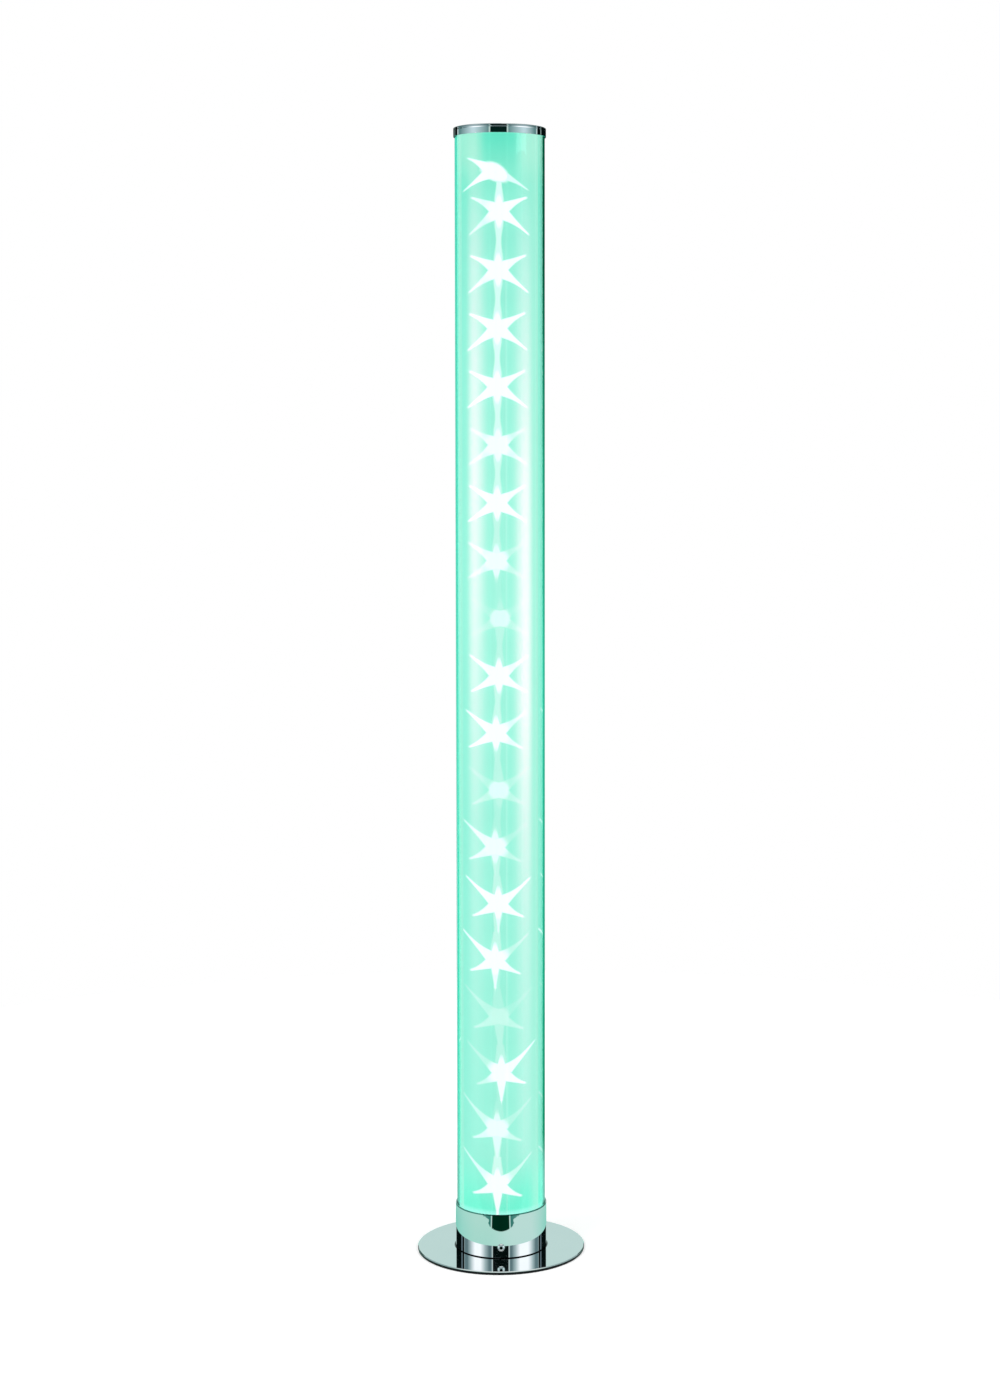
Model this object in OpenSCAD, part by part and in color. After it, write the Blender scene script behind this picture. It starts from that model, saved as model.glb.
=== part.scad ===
// Star column floor lamp: a clear tube on a chromed disc, lit by a three-sided bar of lights.
// Millimetres, +Z up. The origin is the centre of the underside, and the front is towards -Y.

/* [Overall] */
// Height from the floor to the top of the cap
total_h = 1151; // [600:1:1600]

/* [Base discs] */
// Diameter of the chromed disc
base_d = 172.5; // [150:0.5:260]
// Thickness of the chromed disc
base_t = 0.8; // [0.7:0.1:4]
// Bevel round the chromed disc's top edge
base_bevel = 0.6; // [0.1:0.05:0.6]
// Thickness of the black ballast disc under it
ballast_t = 2.3; // [1.6:0.1:8]
// How far the ballast disc's edge stays inside the chromed disc's edge
ballast_inset = 0.2; // [0:0.1:4]
// Thickness of the foam floor pad
pad_t = 0.5; // [0.3:0.1:3]
// How far the pad's edge stays inside the ballast disc's edge
pad_inset = 0.4; // [0:0.1:4]

/* [Collar] */
// Height of the collar above the chromed disc
collar_h = 45.7; // [36:0.1:90]
// Wall thickness of the collar
collar_wall = 1.25; // [1.1:0.05:1.5]
// Thickness of the collar's floor
collar_floor_t = 1.2; // [0.8:0.1:3]
// Rounding of the collar's rim
collar_rim_r = 0.5; // [0.1:0.05:0.5]
// Radius where the drawn collar turns into its floor
collar_foot_r = 1; // [0.2:0.1:1.2]
// Gap all round between the collar's bore and the tube
collar_gap = 0.25; // [0.1:0.05:0.6]

/* [Tube and film] */
// Outer diameter of the clear tube
tube_d = 91; // [86:0.5:120]
// Wall thickness of the clear tube
tube_wall = 2; // [1.5:0.1:4]
// Chamfer on the tube's sawn ends
tube_chamfer = 0.3; // [0.1:0.05:0.6]
// Thickness of the star film
film_t = 0.3; // [0.1:0.05:0.5]
// Gap between the film and the tube's bore
film_gap = 0.1; // [0.05:0.05:0.4]
// Width of the film's overlap, along its curve
film_overlap = 15; // [5:1:40]
// Direction of the film's outer edge, in degrees from +X
film_edge_angle = -81.5; // [-85:0.5:85]

/* [Cap] */
// Height of the chromed cap
cap_h = 9; // [6:0.1:30]
// Wall thickness of the cap
cap_wall = 1; // [0.6:0.05:1.5]
// Gap all round between the cap's bore and the tube
cap_gap = 0.2; // [0.1:0.05:0.5]
// Radius of the cap's top edge
cap_edge_r = 0.8; // [0.3:0.1:0.9]
// Rounding of the cap's lower lip
cap_lip_r = 0.25; // [0.1:0.05:0.3]
// Thickness of the mounting tape under the cap
tape_t = 0.4; // [0.2:0.1:1]
// Width of the ring of mounting tape
tape_w = 12; // [6:0.5:20]
// Thickness of the cap plug's flange
plug_flange_t = 2; // [1.5:0.1:3]
// How far the cap plug's skirt reaches into the tube
plug_skirt_h = 5; // [3:0.5:12]
// Wall of the cap plug's skirt and of its sleeve
plug_wall = 2; // [1.2:0.1:3]
// How far the cap plug's sleeve reaches down the light bar
plug_sleeve_h = 9; // [4:0.5:20]
// Diameter of the hole through the middle of the cap plug
plug_vent_d = 6; // [3:0.5:10]

/* [Foot socket] */
// Thickness of the foot socket's flange
flange_t = 2.5; // [1.5:0.1:5]
// Height of the foot socket's ring above its flange
ring_h = 23; // [20:0.5:30]
// Wall thickness of the foot socket's ring
ring_wall = 2.5; // [1.5:0.1:4]
// Gap between moulded rings and the film, and between sleeves and the light bar
socket_gap = 0.15; // [0.05:0.05:0.4]
// Chamfer that leads the film and tube over the ring
ring_lead = 0.8; // [0.2:0.1:1.2]
// Height of the sleeve that holds the light bar
sleeve_h = 12; // [6:0.5:13]
// Wall of that sleeve
sleeve_wall = 1.8; // [1:0.1:2]
// Height of the ribs from the sleeve to the ring
rib_h = 4; // [2:0.5:5]
// Thickness of those ribs
rib_t = 1.6; // [1:0.1:3]
// Diameter of the posts
post_d = 6.4; // [5.4:0.1:7]
// Wall round the side screws in their bosses
boss_wall = 2; // [1.2:0.1:2.2]
// Top of the board's posts above the flange
board_seat_h = 15.5; // [15:0.5:19]

/* [Light bar and lights] */
// Distance from the bar's axis to each of its three faces
bar_face_r = 8; // [7:0.1:9]
// Radius of the bar's rounded edges
bar_edge_r = 12.6; // [11.8:0.1:13]
// Wall thickness of the bar
bar_wall = 1.2; // [0.8:0.1:2]
// Space left above the bar for its growth with heat
bar_end_gap = 0.6; // [0.3:0.1:0.9]
// Width of a light strip
strip_w = 10; // [6:0.5:11]
// Thickness of a light strip
strip_t = 0.3; // [0.15:0.05:0.6]
// Lower end of the strips above the board
strip_foot_h = 10; // [8:0.5:20]
// Bare bar between the strips' upper end and the cap plug's sleeve
strip_top_gap = 12; // [2:0.5:30]
// Height of the lowest light above the strips' lower end
first_led_h = 34.9; // [10:0.1:60]
// Pitch of the lights
led_pitch = 58.68; // [25:0.01:120]
// Distance of the uppermost light from the strips' upper end
last_led_inset = 19; // [5:0.5:30]
// Side of a square light
led_side = 5; // [3:0.1:5.6]
// Height of a light above its strip
led_t = 1.6; // [0.8:0.1:2]
// Diameter of a light's lens
lens_d = 3.8; // [2:0.1:4.2]
// Depth of the lens in its light
lens_t = 0.6; // [0.2:0.1:0.7]
// Length of a series resistor
resistor_l = 3.2; // [1.6:0.1:3.4]
// Width of a series resistor
resistor_w = 1.6; // [0.8:0.1:2]
// Height of a series resistor
resistor_t = 0.6; // [0.3:0.05:0.8]
// Pitch of the three resistors of a light
resistor_pitch = 2.6; // [2.2:0.1:2.8]
// Space between a light and the resistors above it
resistor_gap = 2; // [1:0.1:4]

/* [Board] */
// Thickness of the ring-shaped board
board_t = 1.6; // [0.8:0.1:2]
// Gap from the board's edge to the foot socket's ring
board_edge_gap = 5.5; // [5:0.1:6.5]
// Gap from the board's opening to the light bar's edges
board_bar_gap = 3; // [2.5:0.1:3.5]
// Length of the control chip
chip_l = 10; // [6:0.1:11]
// Width of the control chip's body
chip_w = 4; // [3:0.1:5]
// Height of the control chip's body
chip_t = 1.6; // [1:0.1:2]
// Diameter of the buffer capacitor
capacitor_d = 8; // [5:0.5:9]
// Height of the buffer capacitor
capacitor_h = 11.5; // [7:0.5:13]
// Length of a switching transistor
transistor_l = 3; // [2:0.1:4]
// Width of a switching transistor's body
transistor_w = 1.4; // [1:0.1:2]
// Height of a switching transistor's body
transistor_t = 1.1; // [0.8:0.1:1.6]
// Width of the two-way terminal block
terminal_w = 10.2; // [9:0.1:11]
// Depth of the terminal block
terminal_l = 8; // [7:0.1:9]
// Height of the terminal block
terminal_h = 9.5; // [8:0.1:12]
// Wall under the terminal block's wire holes
terminal_wall = 1.2; // [0.8:0.1:2]
// Diameter of the terminal block's wire holes
terminal_bore_d = 2.8; // [1.5:0.1:3]
// Diameter of a terminal screw
terminal_screw_d = 3; // [2:0.1:3.2]
// Diameter of an insulated wire between strip and board
lead_d = 1.3; // [0.8:0.1:1.5]
// Bend radius of those wires, on their centre line
lead_bend_r = 3; // [2:0.1:4]
// Pitch of the four wires of a strip
lead_pitch = 2.3; // [2:0.1:2.5]
// Length of a wire that is soldered down, on the strip and on the board
solder_l = 4; // [2:0.5:5]

/* [Cord entry] */
// Diameter of the flex that the gland takes
cord_d = 5; // [4:0.1:6]
// Clearance of the gland's bore over the flex, on the diameter
cord_clearance = 0.4; // [0.2:0.1:1]
// Height of the gland's axis above the chromed disc
gland_h = 12; // [11.5:0.1:12.5]
// Diameter of the gland's neck, which fills its hole in the collar
gland_neck_d = 10; // [9:0.1:11]
// Diameter of the gland's outer flange
gland_flange_d = 14; // [13:0.1:17]
// Thickness of the gland's outer flange
gland_flange_t = 2; // [1:0.1:4]
// Length of the gland's nose beyond its flange
gland_nose_l = 3; // [1:0.1:8]
// Wall of the gland's nose
gland_nose_wall = 1.6; // [1:0.1:2]
// How far the gland's snap-in lip reaches inside the collar's wall
gland_lip_t = 1.4; // [0.8:0.1:1.8]
// How far that lip stands out past the neck, on the radius
gland_lip_step = 0.8; // [0.4:0.1:1]
// Clearance round the gland where it passes the tube and film
gland_clearance = 0.5; // [0.3:0.1:1]
// Length of the cord clamp across the cord
clamp_w = 20; // [18:0.5:22]
// Width of the cord clamp along the cord
clamp_l = 6.4; // [5:0.1:7]
// Thickness of the cord clamp
clamp_t = 3.6; // [3.2:0.1:3.9]
// How far the clamp's middle stays inside the foot socket's ring
clamp_inset = 11.2; // [9.5:0.1:12]

/* [Screws] */
// Shank diameter of a screw in the collar's side
side_screw_d = 4; // [3:0.1:4.4]
// Head diameter of a screw in the collar's side
side_head_d = 7.6; // [6.5:0.1:9]
// Head height of a screw in the collar's side
side_head_h = 2.2; // [2:0.1:3.4]
// Width of its hexagon socket, across the flats
side_socket_w = 2.5; // [2:0.1:3]
// Length of its shank
side_screw_l = 12; // [9:0.5:14]
// Height of those screws above the chromed disc
side_screw_h = 11.6; // [11:0.1:14]
// Shank diameter of a base screw
base_screw_d = 3; // [2.5:0.1:3.4]
// Head diameter of a base screw
base_head_d = 5.5; // [5:0.1:5.8]
// Length of a base screw
base_screw_l = 12; // [10:0.5:13]
// Shank diameter of a board or clamp screw
small_screw_d = 2.6; // [2:0.1:3]
// Head diameter of a board or clamp screw
small_head_d = 4.8; // [4:0.1:5.2]
// Head height of a board or clamp screw
small_head_h = 1.5; // [1:0.1:1.8]
// Length of a board or clamp screw
small_screw_l = 8; // [6.5:0.5:8.5]
// Clearance round a shank where it passes through a piece
shank_clearance = 0.15; // [0.1:0.05:0.3]
// Clearance round a shank where it is screwed in
thread_clearance = 0.02; // [0.01:0.01:0.05]

/* [Hidden] */

$fn = 96;
// A cut runs this far past the faces that it opens
cut = 1;
third = 360 / 3;

// The three faces of the bar look to the front, to the right at the back, and to the left at the back
FRONT = -90;
RIGHT = FRONT + third;
LEFT = RIGHT + third;
FACES = [FRONT, RIGHT, LEFT];
REAR = 90;

// Heights of the base stack
ballast_z = pad_t;
base_z = ballast_z + ballast_t;
base_top = base_z + base_t;
flange_z = base_top + collar_floor_t;
flange_top = flange_z + flange_t;

// Heights of the top stack
tape_z = total_h - cap_wall - tape_t;
tube_top = tape_z - plug_flange_t;
sleeve_z = tube_top - plug_sleeve_h;

// Radii from the tube inwards and outwards
tube_r = tube_d / 2;
bore_r = tube_r - tube_wall;
collar_bore_r = tube_r + collar_gap;
collar_r = collar_bore_r + collar_wall;
cap_bore_r = tube_r + cap_gap;
cap_r = cap_bore_r + cap_wall;
film_outer_r = bore_r - film_gap;
film_mid_r = film_outer_r - film_t;
film_inner_r = film_mid_r - film_t;
ring_r = film_inner_r - socket_gap;
ring_bore_r = ring_r - ring_wall;

// Lights
board_z = flange_top + board_seat_h;
board_top = board_z + board_t;
board_r = ring_bore_r - board_edge_gap;
board_bore_r = bar_edge_r + board_bar_gap;
board_mid_r = (board_r + board_bore_r) / 2;
strip_z = board_top + strip_foot_h;
strip_top = sleeve_z - strip_top_gap;
strip_face_r = bar_face_r + strip_t;
first_led_z = strip_z + first_led_h;
last_led_z = strip_top - last_led_inset;
// The last light on the even pitch stays at least half a pitch below the one at the strip's end
led_steps = floor((last_led_z - led_pitch / 2 - first_led_z) / led_pitch);
led_heights = concat([for (i = [0:led_steps]) first_led_z + i * led_pitch], [last_led_z]);

// Screws and cord entry
side_screw_z = base_top + side_screw_h;
gland_z = base_top + gland_h;
gland_bore_d = cord_d + cord_clearance;
cord_floor_z = gland_z - cord_d / 2;
clamp_seat_z = gland_z + cord_d / 10;
boss_d = side_screw_d + 2 * boss_wall;
boss_r = collar_r - side_screw_l - boss_wall / 2;
base_screw_r = board_mid_r;
clamp_y = ring_bore_r - clamp_inset;
terminal_bore_z = terminal_bore_d / 2 + terminal_wall;
board_post_angles = [for (a = FACES) a - third / 4];
chip_angle = -45;
capacitor_angle = 55;
transistor_angles = [164, 180, 196];

// Puts children, drawn along +X, in each of the given directions
module at_angles(angles) {
  for (a = angles)
    rotate([0, 0, a]) children();
}

// Lays a cylinder along +X
module bar_x(d, l) {
  rotate([0, 90, 0]) cylinder(d = d, h = l);
}

// A ring between two radii, standing on z
module ring(outer, inner, z, h) {
  translate([0, 0, z])
    difference() {
      cylinder(r = outer, h = h);
      translate([0, 0, -cut]) cylinder(r = inner, h = h + 2 * cut);
    }
}

// Outline of the three-sided bar, grown or shrunk by an even amount
module bar_section(grow = 0) {
  rotate(REAR)
    intersection() {
      circle(r = 2 * (bar_face_r + grow), $fn = 3);
      circle(r = bar_edge_r + grow);
    }
}

// Cross-shaped driver recess, cut down from a head's top face
module cross_recess(head_d, depth) {
  slot_w = head_d * 0.16;
  slot_l = head_d * 0.56;
  for (a = [0, 90])
    rotate([0, 0, a]) translate([-slot_l / 2, -slot_w / 2, -depth]) cube([slot_l, slot_w, depth + cut]);
}

// Pan-head screw: its head stands on z = 0 and its shank runs down
module pan_screw(shank_d, shank_l, head_d, head_h) {
  edge_h = head_h * 0.45;
  crown_r = head_h - edge_h;
  difference() {
    union() {
      translate([0, 0, -shank_l]) cylinder(d = shank_d, h = shank_l);
      rotate_extrude() {
        square([head_d / 2, edge_h]);
        square([head_d / 2 - crown_r, head_h]);
        translate([head_d / 2 - crown_r, edge_h])
          intersection() {
            circle(r = crown_r);
            square(crown_r);
          }
      }
    }
    translate([0, 0, head_h]) cross_recess(head_d, head_h * 0.6);
  }
}

// Button-head screw: a low dome with a hexagon socket, standing on z = 0 like a pan head
module button_screw(shank_d, shank_l, head_d, head_h, socket_w) {
  edge_h = head_h * 0.15;
  dome_h = head_h - edge_h;
  dome_r = (pow(head_d / 2, 2) + pow(dome_h, 2)) / (2 * dome_h);
  difference() {
    union() {
      translate([0, 0, -shank_l]) cylinder(d = shank_d, h = shank_l);
      rotate_extrude()
        intersection() {
          translate([0, head_h - dome_r]) circle(r = dome_r);
          square([head_d / 2, head_h]);
        }
    }
    translate([0, 0, head_h * 0.4]) cylinder(d = socket_w / cos(30), h = head_h, $fn = 6);
  }
}

// The space that a base screw needs from below, grown on the radius for clearance
module base_screw_form(grow, shank_l) {
  sink_h = (base_head_d - base_screw_d) / 2;
  translate([0, 0, ballast_z]) {
    cylinder(d1 = base_head_d + 2 * grow, d2 = base_screw_d + 2 * grow, h = sink_h);
    cylinder(d = base_screw_d + 2 * grow, h = shank_l);
  }
}

module at_base_screws() {
  at_angles(FACES) translate([base_screw_r, 0, 0]) children();
}

module at_side_screws() {
  at_angles(FACES) translate([0, 0, side_screw_z]) children();
}

// The way in for the cord: from the axis out to the rear
module cord_way(d, from, to) {
  rotate([0, 0, REAR]) translate([from, 0, gland_z]) bar_x(d, to - from);
}

// What the collar's side screws and the gland cut from the tube or the film
module wall_holes(inner, outer) {
  notch_d = gland_neck_d + 2 * (gland_lip_step + gland_clearance);
  at_side_screws()
    translate([inner - cut, 0, 0]) bar_x(side_screw_d + 2 * shank_clearance, outer - inner + 2 * cut);
  cord_way(notch_d, inner - cut, outer + cut);
  rotate([0, 0, REAR])
    translate([inner - cut, -notch_d / 2, flange_top - cut])
      cube([outer - inner + 2 * cut, notch_d, gland_z - flange_top + cut]);
}

module floor_pad() {
  color("dimgray")
    difference() {
      cylinder(d = base_d - 2 * (ballast_inset + pad_inset), h = pad_t);
      at_base_screws() translate([0, 0, -cut]) cylinder(d = base_head_d + cut, h = pad_t + 2 * cut);
    }
}

module ballast_plate() {
  color("black")
    difference() {
      translate([0, 0, ballast_z]) cylinder(d = base_d - 2 * ballast_inset, h = ballast_t);
      at_base_screws() base_screw_form(shank_clearance, base_top);
      at_base_screws() translate([0, 0, ballast_z - cut]) cylinder(d = base_head_d, h = cut + 0.01);
    }
}

module base_plate() {
  color("gainsboro")
    difference() {
      translate([0, 0, base_z]) {
        cylinder(d = base_d, h = base_t - base_bevel);
        translate([0, 0, base_t - base_bevel])
          cylinder(d1 = base_d, d2 = base_d - 2 * base_bevel, h = base_bevel);
      }
      at_base_screws() base_screw_form(shank_clearance, base_top + cut);
    }
}

// Half section of the drawn collar, from its axis out
module collar_section() {
  difference() {
    union() {
      square([collar_r, collar_floor_t]);
      translate([collar_bore_r, 0]) square([collar_wall, collar_h - collar_rim_r]);
      translate([collar_bore_r + collar_rim_r, 0]) square([collar_wall - 2 * collar_rim_r, collar_h]);
      for (x = [collar_bore_r + collar_rim_r, collar_r - collar_rim_r])
        translate([x, collar_h - collar_rim_r]) circle(r = collar_rim_r);
    }
    translate([collar_r - collar_foot_r, 0])
      difference() {
        translate([0, -cut]) square([collar_foot_r + cut, collar_foot_r + cut]);
        translate([0, collar_foot_r]) circle(r = collar_foot_r);
        translate([-cut, 0]) square([cut, collar_foot_r]);
      }
  }
}

module collar() {
  color("silver")
    difference() {
      translate([0, 0, base_top]) rotate_extrude($fn = 180) collar_section();
      at_base_screws() base_screw_form(shank_clearance, flange_z + cut);
      at_side_screws()
        translate([collar_bore_r - cut, 0, 0])
          bar_x(side_screw_d + 2 * shank_clearance, collar_wall + 2 * cut);
      cord_way(gland_neck_d, collar_bore_r - cut, collar_r + cut);
    }
}

// Moulded socket in the collar: a flange, a ring that the film and tube slide over,
// a sleeve for the light bar, ribs between them, and bosses and posts for the screws
module foot_socket() {
  color([0.12, 0.12, 0.13])
    difference() {
      union() {
        translate([0, 0, flange_z]) cylinder(r = tube_r, h = flange_t);
        socket_ring();
        translate([0, 0, flange_top - cut])
          linear_extrude(sleeve_h + cut) bar_section(socket_gap + sleeve_wall);
        socket_ribs();
        at_side_screws() side_boss();
        at_base_screws() post(base_screw_l - flange_top + ballast_z + cut);
        at_angles(board_post_angles) translate([board_mid_r, 0, 0]) post(board_seat_h);
        cord_saddle();
      }
      translate([0, 0, flange_top]) linear_extrude(sleeve_h + cut) bar_section(socket_gap);
      at_base_screws() base_screw_form(thread_clearance, base_screw_l);
      at_side_screws()
        translate([boss_r + boss_wall / 2, 0, 0]) bar_x(side_screw_d + 2 * thread_clearance, ring_r);
      at_angles(board_post_angles)
        translate([board_mid_r, 0, board_top - small_screw_l])
          cylinder(d = small_screw_d + 2 * thread_clearance, h = small_screw_l);
      at_clamp_screws()
        translate([0, 0, clamp_seat_z + clamp_t - small_screw_l])
          cylinder(d = small_screw_d + 2 * thread_clearance, h = small_screw_l);
      cord_way(cord_d + 2 * gland_clearance, board_bore_r + terminal_l, ring_r + cut);
    }
}

module socket_ring() {
  translate([0, 0, flange_top - cut])
    rotate_extrude()
      polygon([[ring_bore_r, 0], [ring_r, 0], [ring_r, cut + ring_h - ring_lead],
        [ring_r - ring_lead, cut + ring_h], [ring_bore_r, cut + ring_h]]);
}

// Ribs on the flange, from the sleeve's corners and faces out to the ring
module socket_ribs() {
  at_angles([for (i = [0:5]) FRONT + i * third / 2])
    translate([bar_face_r + sleeve_wall, -rib_t / 2, flange_top - cut])
      cube([ring_bore_r + cut - bar_face_r - sleeve_wall, rib_t, rib_h + cut]);
}

// Boss that a side screw bites into, with a web down to the flange
module side_boss() {
  translate([boss_r, 0, 0]) bar_x(boss_d, ring_bore_r + cut - boss_r);
  translate([boss_r, -boss_d / 2, flange_z - side_screw_z + cut])
    cube([ring_bore_r + cut - boss_r, boss_d, side_screw_z - flange_z - cut]);
}

// Post that stands on the flange and is as high as given
module post(h) {
  translate([0, 0, flange_top - cut]) cylinder(d = post_d, h = h + cut);
}

module at_clamp_screws() {
  for (side = [-1, 1])
    translate([side * (clamp_w - post_d) / 2, clamp_y, 0]) children();
}

// Two posts for the cord clamp and a grooved saddle between them
module cord_saddle() {
  at_clamp_screws() post(clamp_seat_z - flange_top);
  difference() {
    translate([-clamp_w / 2 + post_d / 2, clamp_y - rib_t, flange_top - cut])
      cube([clamp_w - post_d, 2 * rib_t, clamp_seat_z - flange_top + cut]);
    cord_way(cord_d, clamp_y - 2 * rib_t, clamp_y + 2 * rib_t);
    translate([-cord_d / 2, clamp_y - 2 * rib_t, gland_z]) cube([cord_d, 4 * rib_t, cord_d]);
  }
}

module base_screws() {
  color("silver")
    at_base_screws()
      difference() {
        base_screw_form(0, base_screw_l);
        translate([0, 0, ballast_z]) mirror([0, 0, 1]) cross_recess(base_head_d, base_head_d * 0.2);
      }
}

module collar_screws() {
  color("silver")
    at_side_screws()
      translate([collar_r, 0, 0])
        rotate([0, 90, 0])
          button_screw(side_screw_d, side_screw_l, side_head_d, side_head_h, side_socket_w);
}

// Snap-in bush: its flange is hollowed to the collar's curve, and its lip snaps in behind the wall
module cord_gland() {
  lip_d = gland_neck_d + 2 * gland_lip_step;
  nose_d = gland_bore_d + 2 * gland_nose_wall;
  flange_end = collar_r + gland_flange_t;
  color([0.1, 0.1, 0.1])
    difference() {
      union() {
        cord_way(gland_neck_d, collar_bore_r - gland_lip_t, flange_end);
        intersection() {
          cord_way(lip_d, collar_bore_r - gland_lip_t, collar_bore_r);
          cylinder(r = collar_bore_r, h = total_h);
        }
        difference() {
          cord_way(gland_flange_d, collar_bore_r, flange_end);
          cylinder(r = collar_r, h = total_h);
        }
        rotate([0, 0, REAR])
          translate([flange_end, 0, gland_z])
            rotate([0, 90, 0]) cylinder(d1 = (nose_d + gland_flange_d) / 2, d2 = nose_d, h = gland_nose_l);
      }
      cord_way(gland_bore_d, collar_bore_r - gland_lip_t - cut, flange_end + gland_nose_l + cut);
    }
}

// Bar with a groove for the cord, screwed down on two posts
module cord_clamp() {
  color([0.15, 0.15, 0.16])
    difference() {
      translate([-clamp_w / 2, clamp_y - clamp_l / 2, clamp_seat_z]) cube([clamp_w, clamp_l, clamp_t]);
      cord_way(cord_d, clamp_y - clamp_l, clamp_y + clamp_l);
      at_clamp_screws()
        translate([0, 0, clamp_seat_z - cut])
          cylinder(d = small_screw_d + 2 * shank_clearance, h = clamp_t + 2 * cut);
    }
}

module clamp_screws() {
  color("silver")
    at_clamp_screws()
      translate([0, 0, clamp_seat_z + clamp_t])
        pan_screw(small_screw_d, small_screw_l, small_head_d, small_head_h);
}

module tube() {
  color([0.75, 1, 0.95, 0.35])
    difference() {
      rotate_extrude($fn = 180)
        polygon([[bore_r, flange_top + tube_chamfer], [bore_r + tube_chamfer, flange_top],
          [tube_r - tube_chamfer, flange_top], [tube_r, flange_top + tube_chamfer],
          [tube_r, tube_top - tube_chamfer], [tube_r - tube_chamfer, tube_top],
          [bore_r + tube_chamfer, tube_top], [bore_r, tube_top - tube_chamfer]]);
      wall_holes(bore_r, tube_r);
    }
}

// The film is rolled once round, and its outer end overlaps its start
module star_film() {
  film_top = tube_top;
  overlap_angle = film_overlap / film_outer_r * 180 / PI;
  color([0.55, 0.95, 0.85])
    difference() {
      union() {
        ring(film_mid_r, film_inner_r, flange_top, film_top - flange_top);
        rotate([0, 0, film_edge_angle])
          rotate_extrude(angle = overlap_angle)
            translate([film_mid_r - film_t / 2, flange_top]) square([1.5 * film_t, film_top - flange_top]);
      }
      wall_holes(film_inner_r, film_outer_r);
    }
}

module light_bar() {
  color("white")
    translate([0, 0, flange_top])
      linear_extrude(tube_top - bar_end_gap - flange_top)
        difference() {
          bar_section();
          bar_section(-bar_wall);
        }
}

// Flexible circuit strip on the face that looks in direction a
module strip(a) {
  color("ivory")
    rotate([0, 0, a])
      translate([bar_face_r, -strip_w / 2, strip_z]) cube([strip_t, strip_w, strip_top - strip_z]);
}

module strip_front() { strip(FRONT); }

module strip_right() { strip(RIGHT); }

module strip_left() { strip(LEFT); }

// Puts children, drawn from the strip's surface along +X, at each light of direction a
module at_leds(a) {
  rotate([0, 0, a])
    for (z = led_heights)
      translate([strip_face_r, 0, z]) children();
}

module leds(a) {
  color("whitesmoke")
    at_leds(a)
      difference() {
        translate([0, -led_side / 2, -led_side / 2]) cube([led_t, led_side, led_side]);
        translate([led_t - lens_t, 0, 0]) bar_x(lens_d, lens_t + cut);
      }
}

module leds_front() { leds(FRONT); }

module leds_right() { leds(RIGHT); }

module leds_left() { leds(LEFT); }

module lenses(a) {
  color("aquamarine")
    at_leds(a) translate([led_t - lens_t, 0, 0]) bar_x(lens_d, lens_t);
}

module lenses_front() { lenses(FRONT); }

module lenses_right() { lenses(RIGHT); }

module lenses_left() { lenses(LEFT); }

// Three series resistors above each light
module strip_resistors() {
  color([0.15, 0.15, 0.15])
    for (a = FACES)
      at_leds(a)
        for (i = [-1:1])
          translate([0, i * resistor_pitch - resistor_w / 2, led_side / 2 + resistor_gap])
            cube([resistor_t, resistor_w, resistor_l]);
}

// Four wires a strip: down the strip's foot, round a bend and out on the board
module strip_leads() {
  wire_r = strip_face_r + lead_d / 2;
  wire_z = board_top + lead_d / 2;
  color("mistyrose")
    at_angles(FACES)
      for (i = [-1.5:1:1.5])
        translate([0, i * lead_pitch, 0]) {
          translate([wire_r, 0, wire_z + lead_bend_r])
            cylinder(d = lead_d, h = strip_z + solder_l - wire_z - lead_bend_r, $fn = 24);
          translate([wire_r + lead_bend_r, 0, wire_z + lead_bend_r])
            rotate([90, 0, 0])
              rotate([0, 0, 180])
                rotate_extrude(angle = 90, $fn = 24)
                  translate([lead_bend_r, 0]) circle(d = lead_d, $fn = 24);
          translate([wire_r + lead_bend_r, 0, wire_z])
            bar_x(lead_d, board_bore_r + solder_l - wire_r - lead_bend_r, $fn = 24);
        }
}

module controller_board() {
  color([0.05, 0.35, 0.2])
    difference() {
      ring(board_r, board_bore_r, board_z, board_t);
      at_angles(board_post_angles)
        translate([board_mid_r, 0, board_z - cut])
          cylinder(d = small_screw_d + 2 * shank_clearance, h = board_t + 2 * cut);
    }
}

module board_screws() {
  color("silver")
    at_angles(board_post_angles)
      translate([board_mid_r, 0, board_top])
        pan_screw(small_screw_d, small_screw_l, small_head_d, small_head_h);
}

// Gull-wing leg, from the body's side at y = 0 down to the board
module leg(w, h, reach, t) {
  foot = reach * 0.5;
  translate([-w / 2, 0, 0])
    rotate([90, 0, 90])
      linear_extrude(w)
        polygon([[-t, h], [reach - foot - t, h], [reach - foot - t, 0], [reach, 0], [reach, t],
          [reach - foot, t], [reach - foot, h + t], [-t, h + t]]);
}

// Chip body on two rows of legs, its length along x, standing on z = 0
module chip(l, w, h, legs_front, legs_back, pitch) {
  leg_t = 0.25;
  stand = 0.15;
  reach = 1.1;
  translate([-l / 2, -w / 2, stand]) cube([l, w, h - stand]);
  for (side = [[0, legs_back], [180, legs_front]])
    rotate([0, 0, side[0]])
      for (i = [0:side[1] - 1])
        translate([(i - (side[1] - 1) / 2) * pitch, w / 2, 0]) leg(pitch * 0.35, h / 2, reach, leg_t);
}

// The board's parts stand halfway between its edges, in the directions that its screws leave free
module on_board(a) {
  rotate([0, 0, a]) translate([board_mid_r, 0, board_top]) rotate([0, 0, 90]) children();
}

module control_chip() {
  legs = floor(chip_l / 1.27) + 1;
  color([0.1, 0.1, 0.1]) on_board(chip_angle) chip(chip_l, chip_w, chip_t, legs, legs, chip_l / legs);
}

module switching_transistors() {
  color([0.1, 0.1, 0.1])
    for (a = transistor_angles)
      on_board(a) chip(transistor_l, transistor_w, transistor_t, 1, 2, transistor_l * 0.6);
}

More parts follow.
